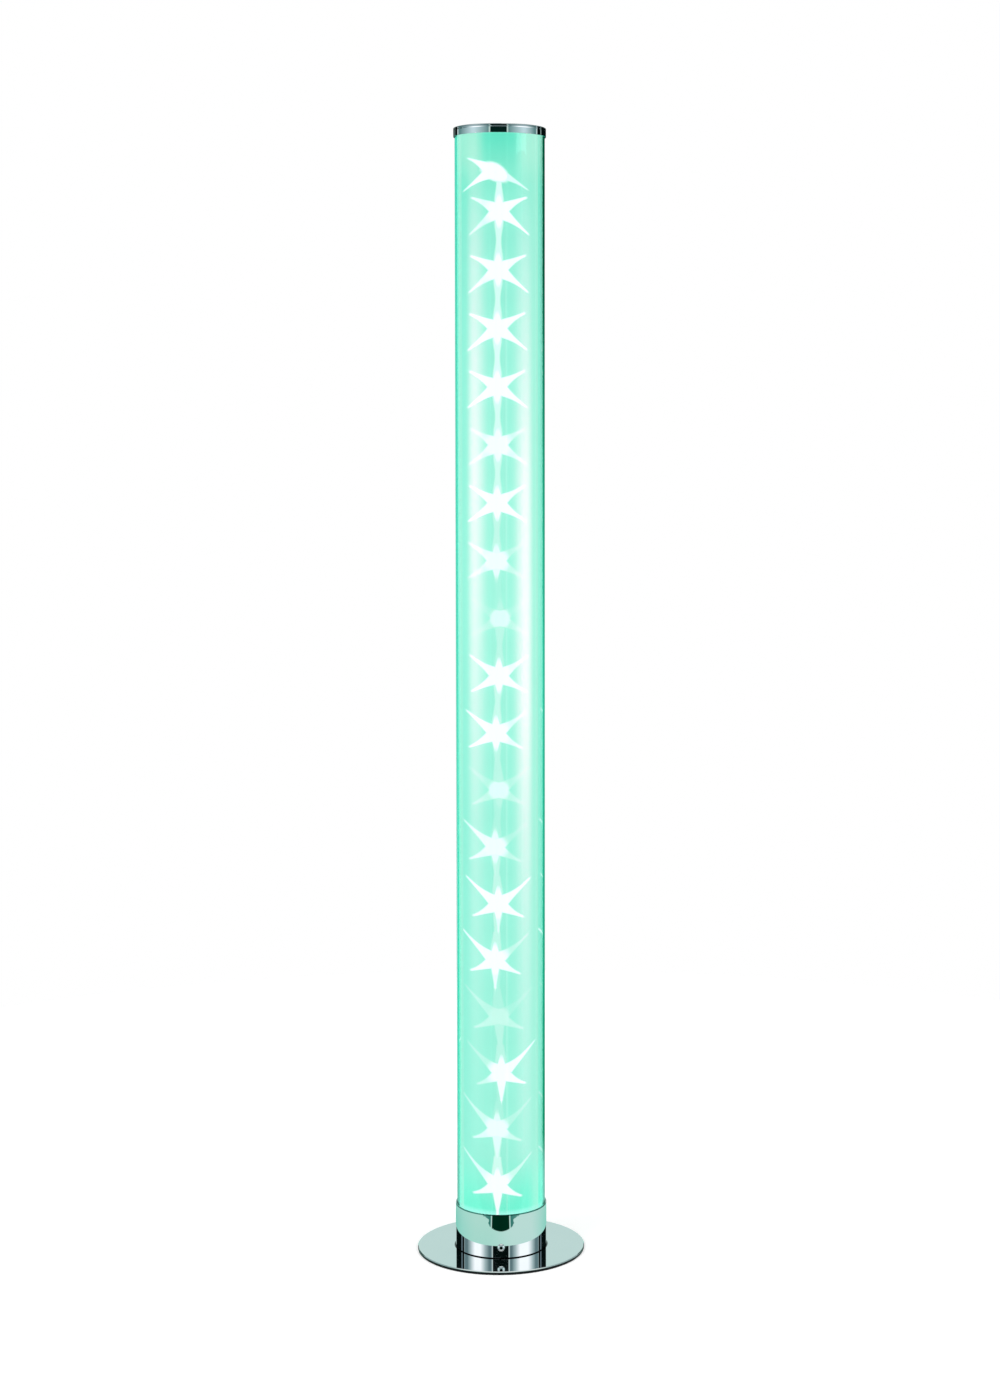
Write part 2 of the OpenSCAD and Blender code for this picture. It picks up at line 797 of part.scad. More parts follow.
module buffer_capacitor() {
  groove_r = 0.4;
  groove_z = 2.5;
  edge = 0.6;
  color("slategray")
    on_board(capacitor_angle)
      rotate_extrude($fn = 48)
        difference() {
          polygon([[0, 0], [capacitor_d / 2, 0], [capacitor_d / 2, capacitor_h - edge],
            [capacitor_d / 2 - edge, capacitor_h], [0, capacitor_h]]);
          translate([capacitor_d / 2 + groove_r / 4, groove_z]) circle(r = groove_r, $fn = 24);
        }
}

module at_terminals() {
  for (side = [-1, 1])
    translate([side * terminal_w / 4, 0, 0]) children();
}

// Two-way block: wires go in from the rear, and a screw over each clamps it
module terminal_block() {
  color([0.1, 0.45, 0.3])
    on_board(REAR)
      difference() {
        translate([-terminal_w / 2, -terminal_l / 2, 0]) cube([terminal_w, terminal_l, terminal_h]);
        at_terminals() {
          translate([0, terminal_l / 4, terminal_bore_z])
            rotate([90, 0, 0]) cylinder(d = terminal_bore_d, h = terminal_l);
          translate([0, 0, terminal_bore_z])
            cylinder(d = terminal_screw_d + 2 * thread_clearance, h = terminal_h);
        }
      }
}

// Slotted screws, sunk a little below the block's top
module terminal_screws() {
  sunk = 1;
  slot_w = 0.6;
  slot_t = 0.8;
  color("silver")
    on_board(REAR)
      at_terminals()
        difference() {
          translate([0, 0, terminal_bore_z + terminal_bore_d / 2])
            cylinder(d = terminal_screw_d, h = terminal_h - sunk - terminal_bore_z - terminal_bore_d / 2);
          translate([-terminal_screw_d, -slot_w / 2, terminal_h - sunk - slot_t])
            cube([2 * terminal_screw_d, slot_w, slot_t + cut]);
        }
}

// Moulded plug on the tube's upper end: flange, skirt in the film, and sleeve on the bar
module cap_plug() {
  color([0.12, 0.12, 0.13])
    difference() {
      union() {
        translate([0, 0, tube_top]) cylinder(r = tube_r, h = plug_flange_t);
        ring(ring_r, ring_r - plug_wall, tube_top - plug_skirt_h, plug_skirt_h + cut);
        translate([0, 0, sleeve_z]) linear_extrude(plug_sleeve_h + cut) bar_section(socket_gap + plug_wall);
        at_angles([for (i = [0:5]) FRONT + i * third / 2])
          translate([bar_face_r + plug_wall, -rib_t / 2, tube_top - plug_skirt_h])
            cube([ring_r - bar_face_r - 1.5 * plug_wall, rib_t, plug_skirt_h + cut]);
      }
      translate([0, 0, sleeve_z - cut])
        linear_extrude(plug_sleeve_h + cut) bar_section(socket_gap);
      translate([0, 0, tube_top - cut]) cylinder(d = plug_vent_d, h = plug_flange_t + 2 * cut);
    }
}

module cap_tape() {
  color("black") ring(tube_r - cut, tube_r - cut - tape_w, tape_z, tape_t);
}

// Half section of the drawn cap, with its open side down
module cap_section() {
  difference() {
    union() {
      square([cap_r - cap_edge_r, cap_h]);
      translate([0, cap_lip_r]) square([cap_r, cap_h - cap_edge_r - cap_lip_r]);
      square([cap_r - cap_lip_r, cap_h - cap_edge_r]);
      translate([cap_r - cap_edge_r, cap_h - cap_edge_r]) circle(r = cap_edge_r);
      translate([cap_r - cap_lip_r, cap_lip_r]) circle(r = cap_lip_r);
    }
    translate([-cut, -cut]) square([cap_bore_r + cut, cap_h - cap_wall + cut]);
  }
}

module top_cap() {
  color("silver") translate([0, 0, total_h - cap_h]) rotate_extrude($fn = 180) cap_section();
}

floor_pad();
ballast_plate();
base_plate();
collar();
foot_socket();
base_screws();
collar_screws();
cord_gland();
cord_clamp();
clamp_screws();
tube();
star_film();
light_bar();
strip_front();
strip_right();
strip_left();
leds_front();
leds_right();
leds_left();
lenses_front();
lenses_right();
lenses_left();
strip_resistors();
strip_leads();
controller_board();
board_screws();
control_chip();
switching_transistors();
buffer_capacitor();
terminal_block();
terminal_screws();
cap_plug();
cap_tape();
top_cap();
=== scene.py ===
# %% [markdown]
# # A star column floor lamp
# The lamp is a clear acrylic tube on a chromed disc. A film rolled inside the tube turns every light of the
# column within into a six-pointed star. This notebook takes the lamp's packed construction model, which
# already holds each piece at its real size, and gives it its finishes, its film, its light and its camera.
# All lengths are in metres, and the lamp stands on z = 0 with its front towards -Y.

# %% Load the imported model
import math

import bpy
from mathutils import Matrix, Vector


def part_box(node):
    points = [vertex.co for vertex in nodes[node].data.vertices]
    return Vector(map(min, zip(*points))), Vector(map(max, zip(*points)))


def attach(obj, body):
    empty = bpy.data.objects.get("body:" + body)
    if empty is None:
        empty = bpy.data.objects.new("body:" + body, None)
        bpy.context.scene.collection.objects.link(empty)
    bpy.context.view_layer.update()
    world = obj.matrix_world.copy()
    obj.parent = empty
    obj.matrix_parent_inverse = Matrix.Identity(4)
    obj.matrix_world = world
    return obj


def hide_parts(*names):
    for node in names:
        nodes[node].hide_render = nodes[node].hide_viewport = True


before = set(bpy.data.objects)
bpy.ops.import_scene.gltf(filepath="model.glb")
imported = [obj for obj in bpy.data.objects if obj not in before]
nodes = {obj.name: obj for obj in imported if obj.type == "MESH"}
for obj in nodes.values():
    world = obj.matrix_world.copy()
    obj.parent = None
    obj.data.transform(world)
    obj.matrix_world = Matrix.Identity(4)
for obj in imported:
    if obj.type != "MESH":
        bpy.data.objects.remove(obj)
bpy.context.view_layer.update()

# %% [markdown]
# ## Shader nodes written as Python
# A node tree is a web of sockets. `Wire` holds one output socket, and Python's own operators on it add Math
# nodes, so that a mask can be written as a formula. `Bench` is the tree those nodes are laid in, and its one
# method `add` makes every other kind of node: settings first, then values or links for the sockets.


# %% Wires and benches
class Wire:
    """An output socket, on which arithmetic adds Math nodes."""

    def __init__(self, bench, socket):
        self.bench, self.socket = bench, socket

    def math(self, operation, *others):
        return self.bench.add("ShaderNodeMath", {"operation": operation}, dict(enumerate((self, *others))))

    def __add__(self, other):
        return self.math("ADD", other)

    def __radd__(self, other):
        return self + other

    def __sub__(self, other):
        return self.math("SUBTRACT", other)

    def __rsub__(self, other):
        return self * -1 + other

    def __mul__(self, other):
        return self.math("MULTIPLY", other)

    def __rmul__(self, other):
        return self * other

    def __truediv__(self, other):
        return self.math("DIVIDE", other)

    def __lt__(self, other):
        return self.math("LESS_THAN", other)

    def __gt__(self, other):
        return self.math("GREATER_THAN", other)

    def __abs__(self):
        return self.math("ABSOLUTE")


class Bench:
    """A node tree, and the one method that puts a node in it."""

    def __init__(self, tree):
        self.tree = tree
        tree.nodes.clear()

    def add(self, kind, settings=None, sockets=None, out=0):
        node = self.tree.nodes.new(kind)
        for name, value in (settings or {}).items():
            if name == "stops":
                ramp = node.color_ramp
                while len(ramp.elements) > 1:
                    ramp.elements.remove(ramp.elements[-1])
                for at, colour in value:
                    stop = ramp.elements[0] if at == value[0][0] else ramp.elements.new(at)
                    stop.position, stop.color = at, (*colour[:3], 1)
            elif name == "blending":
                node.color_ramp.interpolation = value
            else:
                setattr(node, name, value)
        for key, value in (sockets or {}).items():
            if isinstance(value, Wire):
                self.tree.links.new(value.socket, node.inputs[key])
            else:
                node.inputs[key].default_value = value
        return Wire(self, node.outputs[out]) if node.outputs else node


print("shader helpers ready")

# %% [markdown]
# ## Small shader recipes
# Most finishes need the same few things: a colour given as a screen value, a soft step between two numbers,
# a mix of two colours or shaders, a chart of colours over a measure, a noise stretched along one direction,
# and a bump. They are kept as plain functions, so that each finish below can be read as a short list of what
# the real surface shows. Patterns are measured from Object coordinates, in millimetres and in degrees.


# %% Colours, steps and mixes
def tint(red, green, blue):
    """A screen colour from 0 to 255 as the linear colour that Blender works in."""
    return tuple(v / 12.92 if v <= 0.04045 else ((v + 0.055) / 1.055) ** 2.4
                 for v in (red / 255, green / 255, blue / 255)) + (1,)


def step(value, low, high):
    """0 below low, 1 above high and a soft curve between them. High may lie below low."""
    settings = {"interpolation_type": "SMOOTHSTEP"}
    return value.bench.add("ShaderNodeMapRange", settings, {0: value, 1: low, 2: high})


def blend(factor, first, second):
    """The first colour where the factor is 0, the second where it is 1."""
    settings = {"data_type": "RGBA"}
    return factor.bench.add("ShaderNodeMix", settings, {0: factor, 6: first, 7: second}, out=2)


def combine(how, first, second):
    """Two colours added or multiplied. The first is a wire."""
    settings = {"data_type": "RGBA", "blend_type": how}
    return first.bench.add("ShaderNodeMix", settings, {0: 1.0, 6: first, 7: second}, out=2)


def cover(factor, first, second):
    """The first shader where the factor is 0, the second where it is 1."""
    return factor.bench.add("ShaderNodeMixShader", None, {0: factor, 1: first, 2: second})


def ramp(factor, stops, blending="LINEAR"):
    """A colour for each place between 0 and 1."""
    return factor.bench.add("ShaderNodeValToRGB", {"stops": stops, "blending": blending}, {0: factor})


def chart(value, low, high, stops):
    """A colour for each value from low to high. The stops are given in the value's own unit."""
    span = high - low
    return ramp((value - low) * (1 / span), [((at - low) / span, colour) for at, colour in stops])


print("recipes ready: tint, step, blend, combine, cover, ramp, chart")


# %% Places, angles, noise and bumps
def split(vector):
    """The three numbers of a vector or colour."""
    first = vector.bench.add("ShaderNodeSeparateXYZ", None, {0: vector})
    outputs = first.socket.node.outputs
    return [Wire(vector.bench, outputs[i]) for i in range(3)]


def join(x, y, z):
    """Three numbers as a vector. The last one is a wire."""
    return z.bench.add("ShaderNodeCombineXYZ", None, {0: x, 1: y, 2: z})


def millimetres(place):
    """Object coordinates, which are in metres, as three numbers in millimetres."""
    return [part * 1000 for part in split(place)]


def from_axis(x, y):
    """How far a point lies from the axis, or from any place that its two numbers are measured from."""
    return (x * x + y * y).math("SQRT")


def azimuth(x, y):
    """The angle round the lamp in degrees: 0 towards -Y, 90 towards +X and -90 towards -X."""
    return x.math("ARCTAN2", y * -1).math("DEGREES")


def sideways(x, y):
    """The sine of the angle from the nearest of three directions 120 degrees apart, the first towards -Y."""
    whole = azimuth(x, y)
    folded = whole - (whole * (1 / 120)).math("ROUND") * 120
    return folded.math("RADIANS").math("SINE")


def noise(place, scale, stretch=(1, 1, 1), detail=2.0, roughness=0.5):
    """A noise between 0 and 1. Scale is in waves per metre before the stretch."""
    spread = place.bench.add("ShaderNodeVectorMath", {"operation": "MULTIPLY"}, {0: place, 1: stretch})
    sockets = {"Vector": spread, "Scale": scale, "Detail": detail, "Roughness": roughness}
    return place.bench.add("ShaderNodeTexNoise", None, sockets)


def bump(height, distance):
    """A normal that reads as relief. Distance is the relief's height in metres."""
    return height.bench.add("ShaderNodeBump", None, {"Height": height, "Distance": distance})


def finish(name, recipe):
    """A material: the recipe gets Object coordinates, and returns values or wires for the shader."""
    material = bpy.data.materials.new(name)
    material.use_nodes = True
    bench = Bench(material.node_tree)
    place = bench.add("ShaderNodeTexCoord", None, None, out="Object")
    sockets = recipe(place)
    surface = bench.add("ShaderNodeBsdfPrincipled", None, sockets)
    bench.add("ShaderNodeOutputMaterial", None, {"Surface": surface})
    return material


print("recipes ready: split, join, millimetres, from_axis, azimuth, sideways, noise, bump, finish")

# %% [markdown]
# ## The camera
# The lamp is seen from the front, a little above its waist, and the camera is tipped down by four degrees.
# The lens shift keeps the lamp in the middle of a tall frame without turning the camera further, which
# would make the sides of the tube lean.

# %% Camera
view = bpy.data.cameras.new("view")
view.sensor_width = 36
view.lens = 63.84
view.shift_x, view.shift_y = -0.0621, -0.0766
camera = bpy.data.objects.new("view", view)
camera.location = (0.0, -2.530, 0.8584)
camera.rotation_euler = (math.radians(90 - 3.99), math.radians(-0.06), math.radians(-2.0))
bpy.context.scene.collection.objects.link(camera)
bpy.context.scene.camera = camera
bpy.context.scene.view_settings.view_transform = "Standard"
print("camera at", tuple(round(v, 3) for v in camera.location), "lens", view.lens)

# %% [markdown]
# ## The studio
# Chrome shows only what stands round it, so a chromed lamp is really a picture of its studio. A product
# studio has pale panels left and right, a black gap between them where the camera stands, narrow black
# flags further back that draw crisp lines down the chrome, and a pale backdrop. Here the World carries that
# studio, painted over the directions that mirrored rays take. From the front, the cap's wall looks out 7
# degrees above the horizon, and the disc and the collar, which mirror each other, look out at 18. So there
# is a lower and an upper row of panels, each listed from the camera's side round to the back, and above them
# stand a grey wall and a light ceiling.


# %% World
def panels(turn, high, east):
    """What stands round the lamp. Turn is the angle from the camera's side, from 0 to 180 degrees."""
    black, night, line = tint(4, 14, 13), tint(4, 31, 26), tint(205, 222, 222)
    thin, dim, panel = tint(190, 215, 208), tint(102, 141, 141), tint(198, 223, 229)
    dusk, grey, bright = tint(102, 128, 133), tint(176, 197, 200), (1.15, 1.18, 1.22)
    flag_edge, slate, pale = tint(150, 172, 168), tint(120, 140, 150), tint(196, 222, 218)
    lower_row = [(0, night), (19.9, night), (21, thin), (23.6, thin), (24.8, dim), (62, panel), (69, panel),
                 (99, dim), (106, dim), (107, line), (109.8, line), (111, black), (124.8, black),
                 (126.2, flag_edge), (128.6, flag_edge), (130, black), (180, black)]
    upper_row = [(0, black), (19.6, black), (20.4, line), (22.0, line), (23.5, dusk), (29.5, dusk),
                 (40, grey), (53, bright), (69, bright), (84, grey), (94.5, dusk), (105, dusk), (106, grey),
                 (108, black), (115, black), (117, slate), (119, slate), (121, black), (158, black),
                 (163, pale), (180, pale)]
    # On the left the lower row reaches up to 19 degrees further back. On the right the upper row's panels
    # begin a little nearer the camera and end a little further back.
    further = step(turn, 60, 145) * 19 * step(east, 0.02, -0.02)
    wider = (2.5 - step(turn, 48, 80) * 7.5) * step(turn, 24, 36) * step(east, -0.02, 0.02)
    return blend(high, chart(turn - further, 0, 180, lower_row), chart(turn + wider, 0, 180, upper_row))


FOOT_VIEW = 17.8  # degrees above the horizon at which the disc and the collar look out
world = bpy.data.worlds.new("studio")
bpy.context.scene.world = world
world.use_nodes = True
sky = Bench(world.node_tree)
east, north, up = split(sky.add("ShaderNodeTexCoord", None, None, out="Generated"))
height = up.math("ARCSINE").math("DEGREES")
high = step(height, 7.5, 11)
aside = azimuth(east, north)
middle = high * 1.65 - 2.8
turn = abs(aside - middle)
room = panels(turn, high, east)
round_gap = step(turn, 24, 18) * step(height, 9.5, 11) * step(abs(height - FOOT_VIEW), 1.7, 2.4)
room = blend(round_gap, room, tint(150, 172, 176))
room = blend(step(height, 19, 22), room, tint(148, 166, 170))
room = blend(step(height, 48, 60), room, tint(222, 228, 228))
print("world nodes for the room:", len(world.node_tree.nodes))

# %% [markdown]
# ## The two tall softboxes
# The pale bands down both sides of the tube are two tall softboxes, reflected by the clear acrylic. A curved
# wall shows every azimuth of the room once, so each box is a smooth hump over the azimuth. Over the height
# each gets its own strength, since a softbox is brightest in its middle. They fill in the red that the teal
# lamp lacks, and only the tube is smooth enough to mirror them: a perfectly smooth surface sends on singular
# rays, and the wiped chrome doesn't.

# %% Softboxes
LOWEST, HIGHEST = -20, 20  # degrees above the horizon
ROSE = (14.5, 2.2, 6.2, 1)
across_box = step(abs(aside), 26, 69) * step(abs(aside), 99, 69)
boxes = [(-17, 0, .16), (-12, .16, .33), (-9.3, .25, .61), (-6.5, .52, 1.0), (-1.4, .88, .93),
         (1.4, .69, .57), (4, .42, .28), (6.5, 0, 0)]
left, right, _ = split(chart(height, LOWEST, HIGHEST, [(at, (*both, 0)) for at, *both in boxes]))
lit = (left + step(east, -0.05, 0.05) * (right - left)) * across_box
rosy = blend(lit, (0, 0, 0, 1), ROSE)
boxed = combine("ADD", room, rosy)
print("softbox strengths at", len(boxes), "heights")

# %% [markdown]
# ## Which ray sees what
# The camera sees plain white, so that the lamp stands on a white page. Mirrored rays see the studio, and on
# the perfectly smooth tube the softboxes too. Rays bent by the acrylic see a pale teal, except at the tube's
# two edges, where they leave backwards: there they see a green card on the left and a darker one on the
# right, which draws the thin dark line down the right edge. The tube's outermost edges mirror the same two
# cards. Everything matt is lit by an even sky.

# %% World output
WHITE = (1, 1, 1, 1)
camera_ray = sky.add("ShaderNodeLightPath", None, None, out="Is Camera Ray")
rays = camera_ray.socket.node.outputs
mirrored, bent, smooth = (Wire(sky, rays[f"Is {kind} Ray"])
                          for kind in ("Glossy", "Transmission", "Singular"))
left_card = blend(step(abs(aside), 149, 157), tint(40, 226, 188), tint(190, 238, 226))
left_card = blend(step(height, -4, -11), tint(122, 228, 205), left_card)
right_stops = [(-17.5, (0, 140, 100)), (-13, (40, 178, 145)), (-6, (70, 205, 175)),
               (-1.5, (40, 170, 138)), (3.5, (0, 85, 60))]
right_card = chart(height, LOWEST, HIGHEST, [(at, tint(*colour)) for at, colour in right_stops])
card = blend(step(east, -0.02, 0.02), left_card, right_card)
boxed = blend(step(abs(aside), 128, 140), boxed, card)
through = blend(step(abs(aside), 122, 134), tint(150, 218, 200), card)


def background(colour, strength=1.0):
    return sky.add("ShaderNodeBackground", None, {"Color": colour, "Strength": strength})


shown = cover(mirrored, background(WHITE, 0.72), background(blend(smooth, room, boxed)))
shown = cover(bent, shown, background(through))
shown = cover(camera_ray, shown, background(WHITE))
sky.add("ShaderNodeOutputWorld", None, {0: shown})
print("world nodes:", len(world.node_tree.nodes))

# %% [markdown]
# ## Two soft lamps
# The sky alone would leave the matt pieces flat. Two large area lamps above the front corners give them a
# lighter and a darker side and the lamp its soft shadow. Shiny surfaces don't see them, because the studio
# of the World stands for them there.


# %% Area lamps
LAMP_SIZE, AIM = 1.4, Vector((0, 0, 0.5))


def soft_lamp(name, place, power):
    light = bpy.data.lights.new(name, "AREA")
    light.size, light.energy = LAMP_SIZE, power
    lamp = bpy.data.objects.new(name, light)
    lamp.location = place
    towards = AIM - lamp.location
    lamp.rotation_euler = towards.to_track_quat("-Z", "Y").to_euler()
    lamp.visible_glossy = lamp.visible_camera = False
    bpy.context.scene.collection.objects.link(lamp)
    return lamp


for name, place, power in (("left_lamp", (-1.8, -1.6, 2.4), 26), ("right_lamp", (2.0, -1.2, 2.0), 14)):
    print(soft_lamp(name, place, power).name, place)

# %% [markdown]
# ## The floor
# The lamp stands on a pale paper floor. The camera should see it as white with the lamp's soft shadow, so a
# little white is added to its matt colour for camera rays alone. The chrome mirrors the floor too, and for
# mirrored rays the paper is painted as it looks close to the lamp: tinted by the lamp's own teal light, and
# deeper towards the back. In front, from 142 mm out, lies the dark gap where the camera stands, with a
# thin light line at either side and a stepped outline that widens with the distance.

# %% Floor
FLOOR_RADIUS, FLOOR_SIDES = 1.3, 96
corners = (2 * math.pi * i / FLOOR_SIDES for i in range(FLOOR_SIDES))
rim = [(FLOOR_RADIUS * math.cos(corner), FLOOR_RADIUS * math.sin(corner), 0) for corner in corners]
floor_mesh = bpy.data.meshes.new("floor")
floor_mesh.from_pydata(rim, [], [range(FLOOR_SIDES)])
floor = bpy.data.objects.new("floor", floor_mesh)
bpy.context.scene.collection.objects.link(floor)

paper = bpy.data.materials.new("paper_floor")
paper.use_nodes = True
bench = Bench(paper.node_tree)
x, y, _ = millimetres(bench.add("ShaderNodeTexCoord", None, None, out="Object"))
reach, bearing = from_axis(x, y), azimuth(x, y)
left_side = [(58, (172, 225, 211)), (97, (155, 222, 207)), (145, (115, 204, 185)), (180, (90, 190, 165))]
right_side = [(70, (192, 228, 221)), (110, (155, 219, 205)), (145, (130, 208, 190)), (180, (95, 190, 165))]
near_left, near_right = (chart(abs(bearing), 0, 180, [(at, tint(*colour)) for at, colour in side])
                         for side in (left_side, right_side))
tinted = blend(step(x, -70, 70), near_left, near_right)
tinted = blend(step(reach, 80, 210) * 0.35, tinted, tint(200, 230, 220))

GAP_REACH, GAP_ANGLE = 200, 60
gap_edge = [(158, 25.2), (163, 26), (166, 28), (170, 28.1), (174, 26.8), (180, 27.2), (182.5, 30),
            (184, 33), (188, 36)]
half_gap = split(chart(reach, 0, GAP_REACH, [(at, (half / GAP_ANGLE, 0, 0)) for at, half in gap_edge]))[0]
within = step(abs(bearing) - half_gap * GAP_ANGLE, 0.6, -0.6).math("MAXIMUM", step(reach, 186, 190))
patch = step(y, -141.5, -144.5) * within
light_line = tint(190, 225, 215)
gap = chart(abs(bearing + 1.1), 0, GAP_ANGLE, [
    (0, tint(0, 40, 25)), (18.5, tint(0, 44, 28)), (19.5, light_line), (21, light_line),
    (22, tint(52, 122, 112)), (GAP_ANGLE, tint(120, 180, 168))])

camera_ray = bench.add("ShaderNodeLightPath", None, None, out="Is Camera Ray")
mirrored = Wire(bench, camera_ray.socket.node.outputs["Is Glossy Ray"])
matt = bench.add("ShaderNodeBsdfDiffuse", None, {"Color": (0.86, 0.86, 0.86, 1)})
lift = bench.add("ShaderNodeEmission", None, {"Color": WHITE, "Strength": 0.34})
lifted = cover(camera_ray, matt, bench.add("ShaderNodeAddShader", None, {0: matt, 1: lift}))
glow = bench.add("ShaderNodeEmission", None, {"Color": blend(patch, tinted, gap)})
open_air = bench.add("ShaderNodeBsdfTransparent")
glow = cover(step(reach, 260, 460), glow, open_air)
bench.add("ShaderNodeOutputMaterial", None, {0: cover(mirrored, lifted, glow)})
floor_mesh.materials.append(paper)
print("floor faces:", len(floor_mesh.polygons))

# %% [markdown]
# ## Chrome
# The disc, the collar, the cap and the side screws are chromed steel. Bright chrome is a mirror, slightly
# blue, and its main detail is what handling leaves: faint wiping marks that make it a touch less sharp here
# and there. So the colour stays nearly even and the noise goes into the roughness. Three fine places are
# painted darker: a painted contact shadow in the joint where the collar stands on the disc, a painted dark
# teal shade along the line under the collar's rim, and a painted dark reflection on the rolled edge round
# the cap's top, which a small bump sets off from the wall.


# %% Chrome finish
base_top, collar_top, cap_top = (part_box(name)[1][2] * 1000 for name in ("base_plate", "collar", "top_cap"))
collar_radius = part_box("collar")[1][0] * 1000


def chrome(place):
    x, y, z = millimetres(place)
    past_collar = from_axis(x, y) - collar_radius
    # A painted contact shadow: the chrome goes near black where the collar stands on the disc.
    joint_shadow = step(past_collar, -1.4, -1.0) * step(past_collar, 1.5, 1.1) * step(abs(z - base_top), 1.1, 0.8)
    # A painted dark teal shade along the line under the collar's rim.
    under_rim_shade = step(past_collar, -1.3, -1.0) * step(abs(z - collar_top + 0.75), 0.75, 0.5)
    below_top = cap_top - z
    # A painted dark reflection along the cap's rolled top edge.
    cap_edge_dark_reflection = step(below_top, 0.2, 0.5) * step(below_top, 2.3, 2.0) * 0.45
    wiped = noise(place, 26, (1, 1, 0.35), 4.0, 0.62)
    specks = noise(place, 420, detail=1.0)
    smear = step(wiped, 0.52, 0.78) * 0.035 + step(specks, 0.66, 0.74) * 0.03 + 0.018
    cool = blend(wiped, (0.86, 0.885, 0.89, 1), (0.91, 0.93, 0.93, 1))
    cool = blend(joint_shadow, cool, (0.01, 0.014, 0.014, 1))
    cool = blend(under_rim_shade, cool, (0.08, 0.28, 0.24, 1))
    cool = blend(cap_edge_dark_reflection, cool, (0.1, 0.13, 0.13, 1))
    rolled = bump(step(below_top, 2.3, 3.3), 0.00007)
    return {"Base Color": cool, "Metallic": 1.0, "Roughness": smear, "Normal": rolled}


def use(finish_made, *names):
    for name in names:
        mesh = nodes[name].data
        for i in range(len(mesh.materials)):
            mesh.materials[i] = finish_made
        print(name, "<-", finish_made.name)


use(finish("bright_chrome", chrome), "base_plate", "collar", "top_cap")

# %% [markdown]
# ## Button-head screws
# Three chromed screws hold the tube, 120 degrees apart, so the angle round the lamp is folded onto the
# nearest one and a single formula serves all three. The dome is plated like the collar, and the hexagon
# socket is painted black with a rougher finish, as painted shade in its hollow.


# %% Screw finish
SCREW_Z = sum(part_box("collar_screws")[i][2] for i in (0, 1)) * 500


def plated_screw(place):
    x, y, z = millimetres(place)
    # The socket mask paints the hexagon socket black, as painted shade in its hollow.
    socket = step(from_axis(sideways(x, y) * from_axis(x, y), z - SCREW_Z), 1.75, 1.5)
    worn = noise(place, 500)
    plated = blend(worn, (0.83, 0.86, 0.86, 1), (0.9, 0.92, 0.92, 1))
    return {"Base Color": blend(socket, plated, (0.006, 0.01, 0.01, 1)), "Metallic": 1.0,
            "Roughness": step(worn, 0.5, 0.8) * 0.05 + 0.03 + socket * 0.3}


use(finish("plated_button_screw", plated_screw), "collar_screws")

# %% [markdown]
# ## Stars on the film
# Each light shows through the film as a star with four slanting arms and an upright one, which runs into
# the stars above and below as a pale streak. The stars are drawn as a formula of the height and of the
# distance to the side of the nearest column of lights. Towards the foot, which the camera sees from above,
# the ends of the arms bow upwards. The lights differ in strength, as the ones in a colour-changing column
# do, and a table gives each its core, its arms and its small step to the side.


# %% Star table
# From the foot upwards: core, left and right arms above, left and right arms below, step to the side in mm,
# and the streak up to the next star.
STARS = [
    (1.00, .75, .60, 1.0, 1.0, -3.6, .62),
    (.88, .60, .35, .75, .60, -3.9, .20),
    (.98, .40, .95, .60, 1.0, .5, .40),
    (.55, .40, .18, .52, .50, -2.0, .25),
    (1.00, .95, .50, 1.0, .95, -5.5, .50),
    (1.00, 1.0, 1.0, 1.0, 1.0, -2.4, .50),
    (.90, .80, .28, .78, .50, -5.3, .25),
    (.76, .30, .33, .47, .43, -1.6, .40),
    (1.00, 1.0, .70, 1.0, .80, -4.3, .55),
    (1.00, .90, .80, 1.0, .95, -1.4, .40),
    (.73, .18, .18, .36, .38, -.2, .10),
    (.90, .72, .42, .60, .52, -3.7, .50),
    (1.00, 1.0, .95, 1.0, 1.0, -2.9, .60),
    (.95, .60, .60, .65, .70, -2.1, .65),
    (1.00, 1.0, 1.0, 1.0, 1.0, -2.7, .70),
    (1.00, 1.0, 1.0, 1.0, 1.0, -2.6, .65),
    (1.00, .95, .95, .80, 1.0, -1.6, .65),
    (1.00, .78, 1.0, .66, 1.0, -.7, .70)]
PITCH, FIRST_ROW, LAST_ROW = 57.96, 79.5, 1104.4
print(len(STARS), "stars a column,", PITCH, "mm apart")

# %% [markdown]
# A colour ramp with hard steps works as a lookup table in a shader: the row number picks the stop, and the
# stop's three channels carry three numbers. The table above needs three such ramps. A step to the side is
# packed into the range from 0 to 1, and unpacked again where it is looked up.


# %% Look up a row, and draw one arm
WIDEST_STEP = 10
SLANT = math.radians(33)


def row_values(row):
    """Core and step to the side, then the arms above and the upward streak, and the same below."""
    spot = (row + 0.5) * (1 / len(STARS))
    below = [0.10] + [star[6] for star in STARS]
    tables = [[(star[0], 0.5 + star[5] / (2 * WIDEST_STEP), 0) for star in STARS],
              [(star[1], star[2], star[6]) for star in STARS],
              [(star[3], star[4], below[i]) for i, star in enumerate(STARS)]]
    (core, packed, _), above, under = (
        split(ramp(spot, [(i / len(STARS), entry) for i, entry in enumerate(table)], "CONSTANT"))
        for table in tables)
    return (core, (packed - 0.5) * (2 * WIDEST_STEP)), above, under


def one_arm(side, rise, angle, length, root):
    """A pointed arm from the middle of a star in one direction, as a mask."""
    lead, lift = math.cos(math.radians(angle)), math.sin(math.radians(angle))
    out = side * lead + rise * lift
    off = abs(side * lift - rise * lead)
    left = (1 - out * (1 / length)).math("MAXIMUM", 0)
    return step(left * left * root + 0.7 - off, -0.8, 1.0) * step(out, 0, 2) * step(length - out, 0, 4)


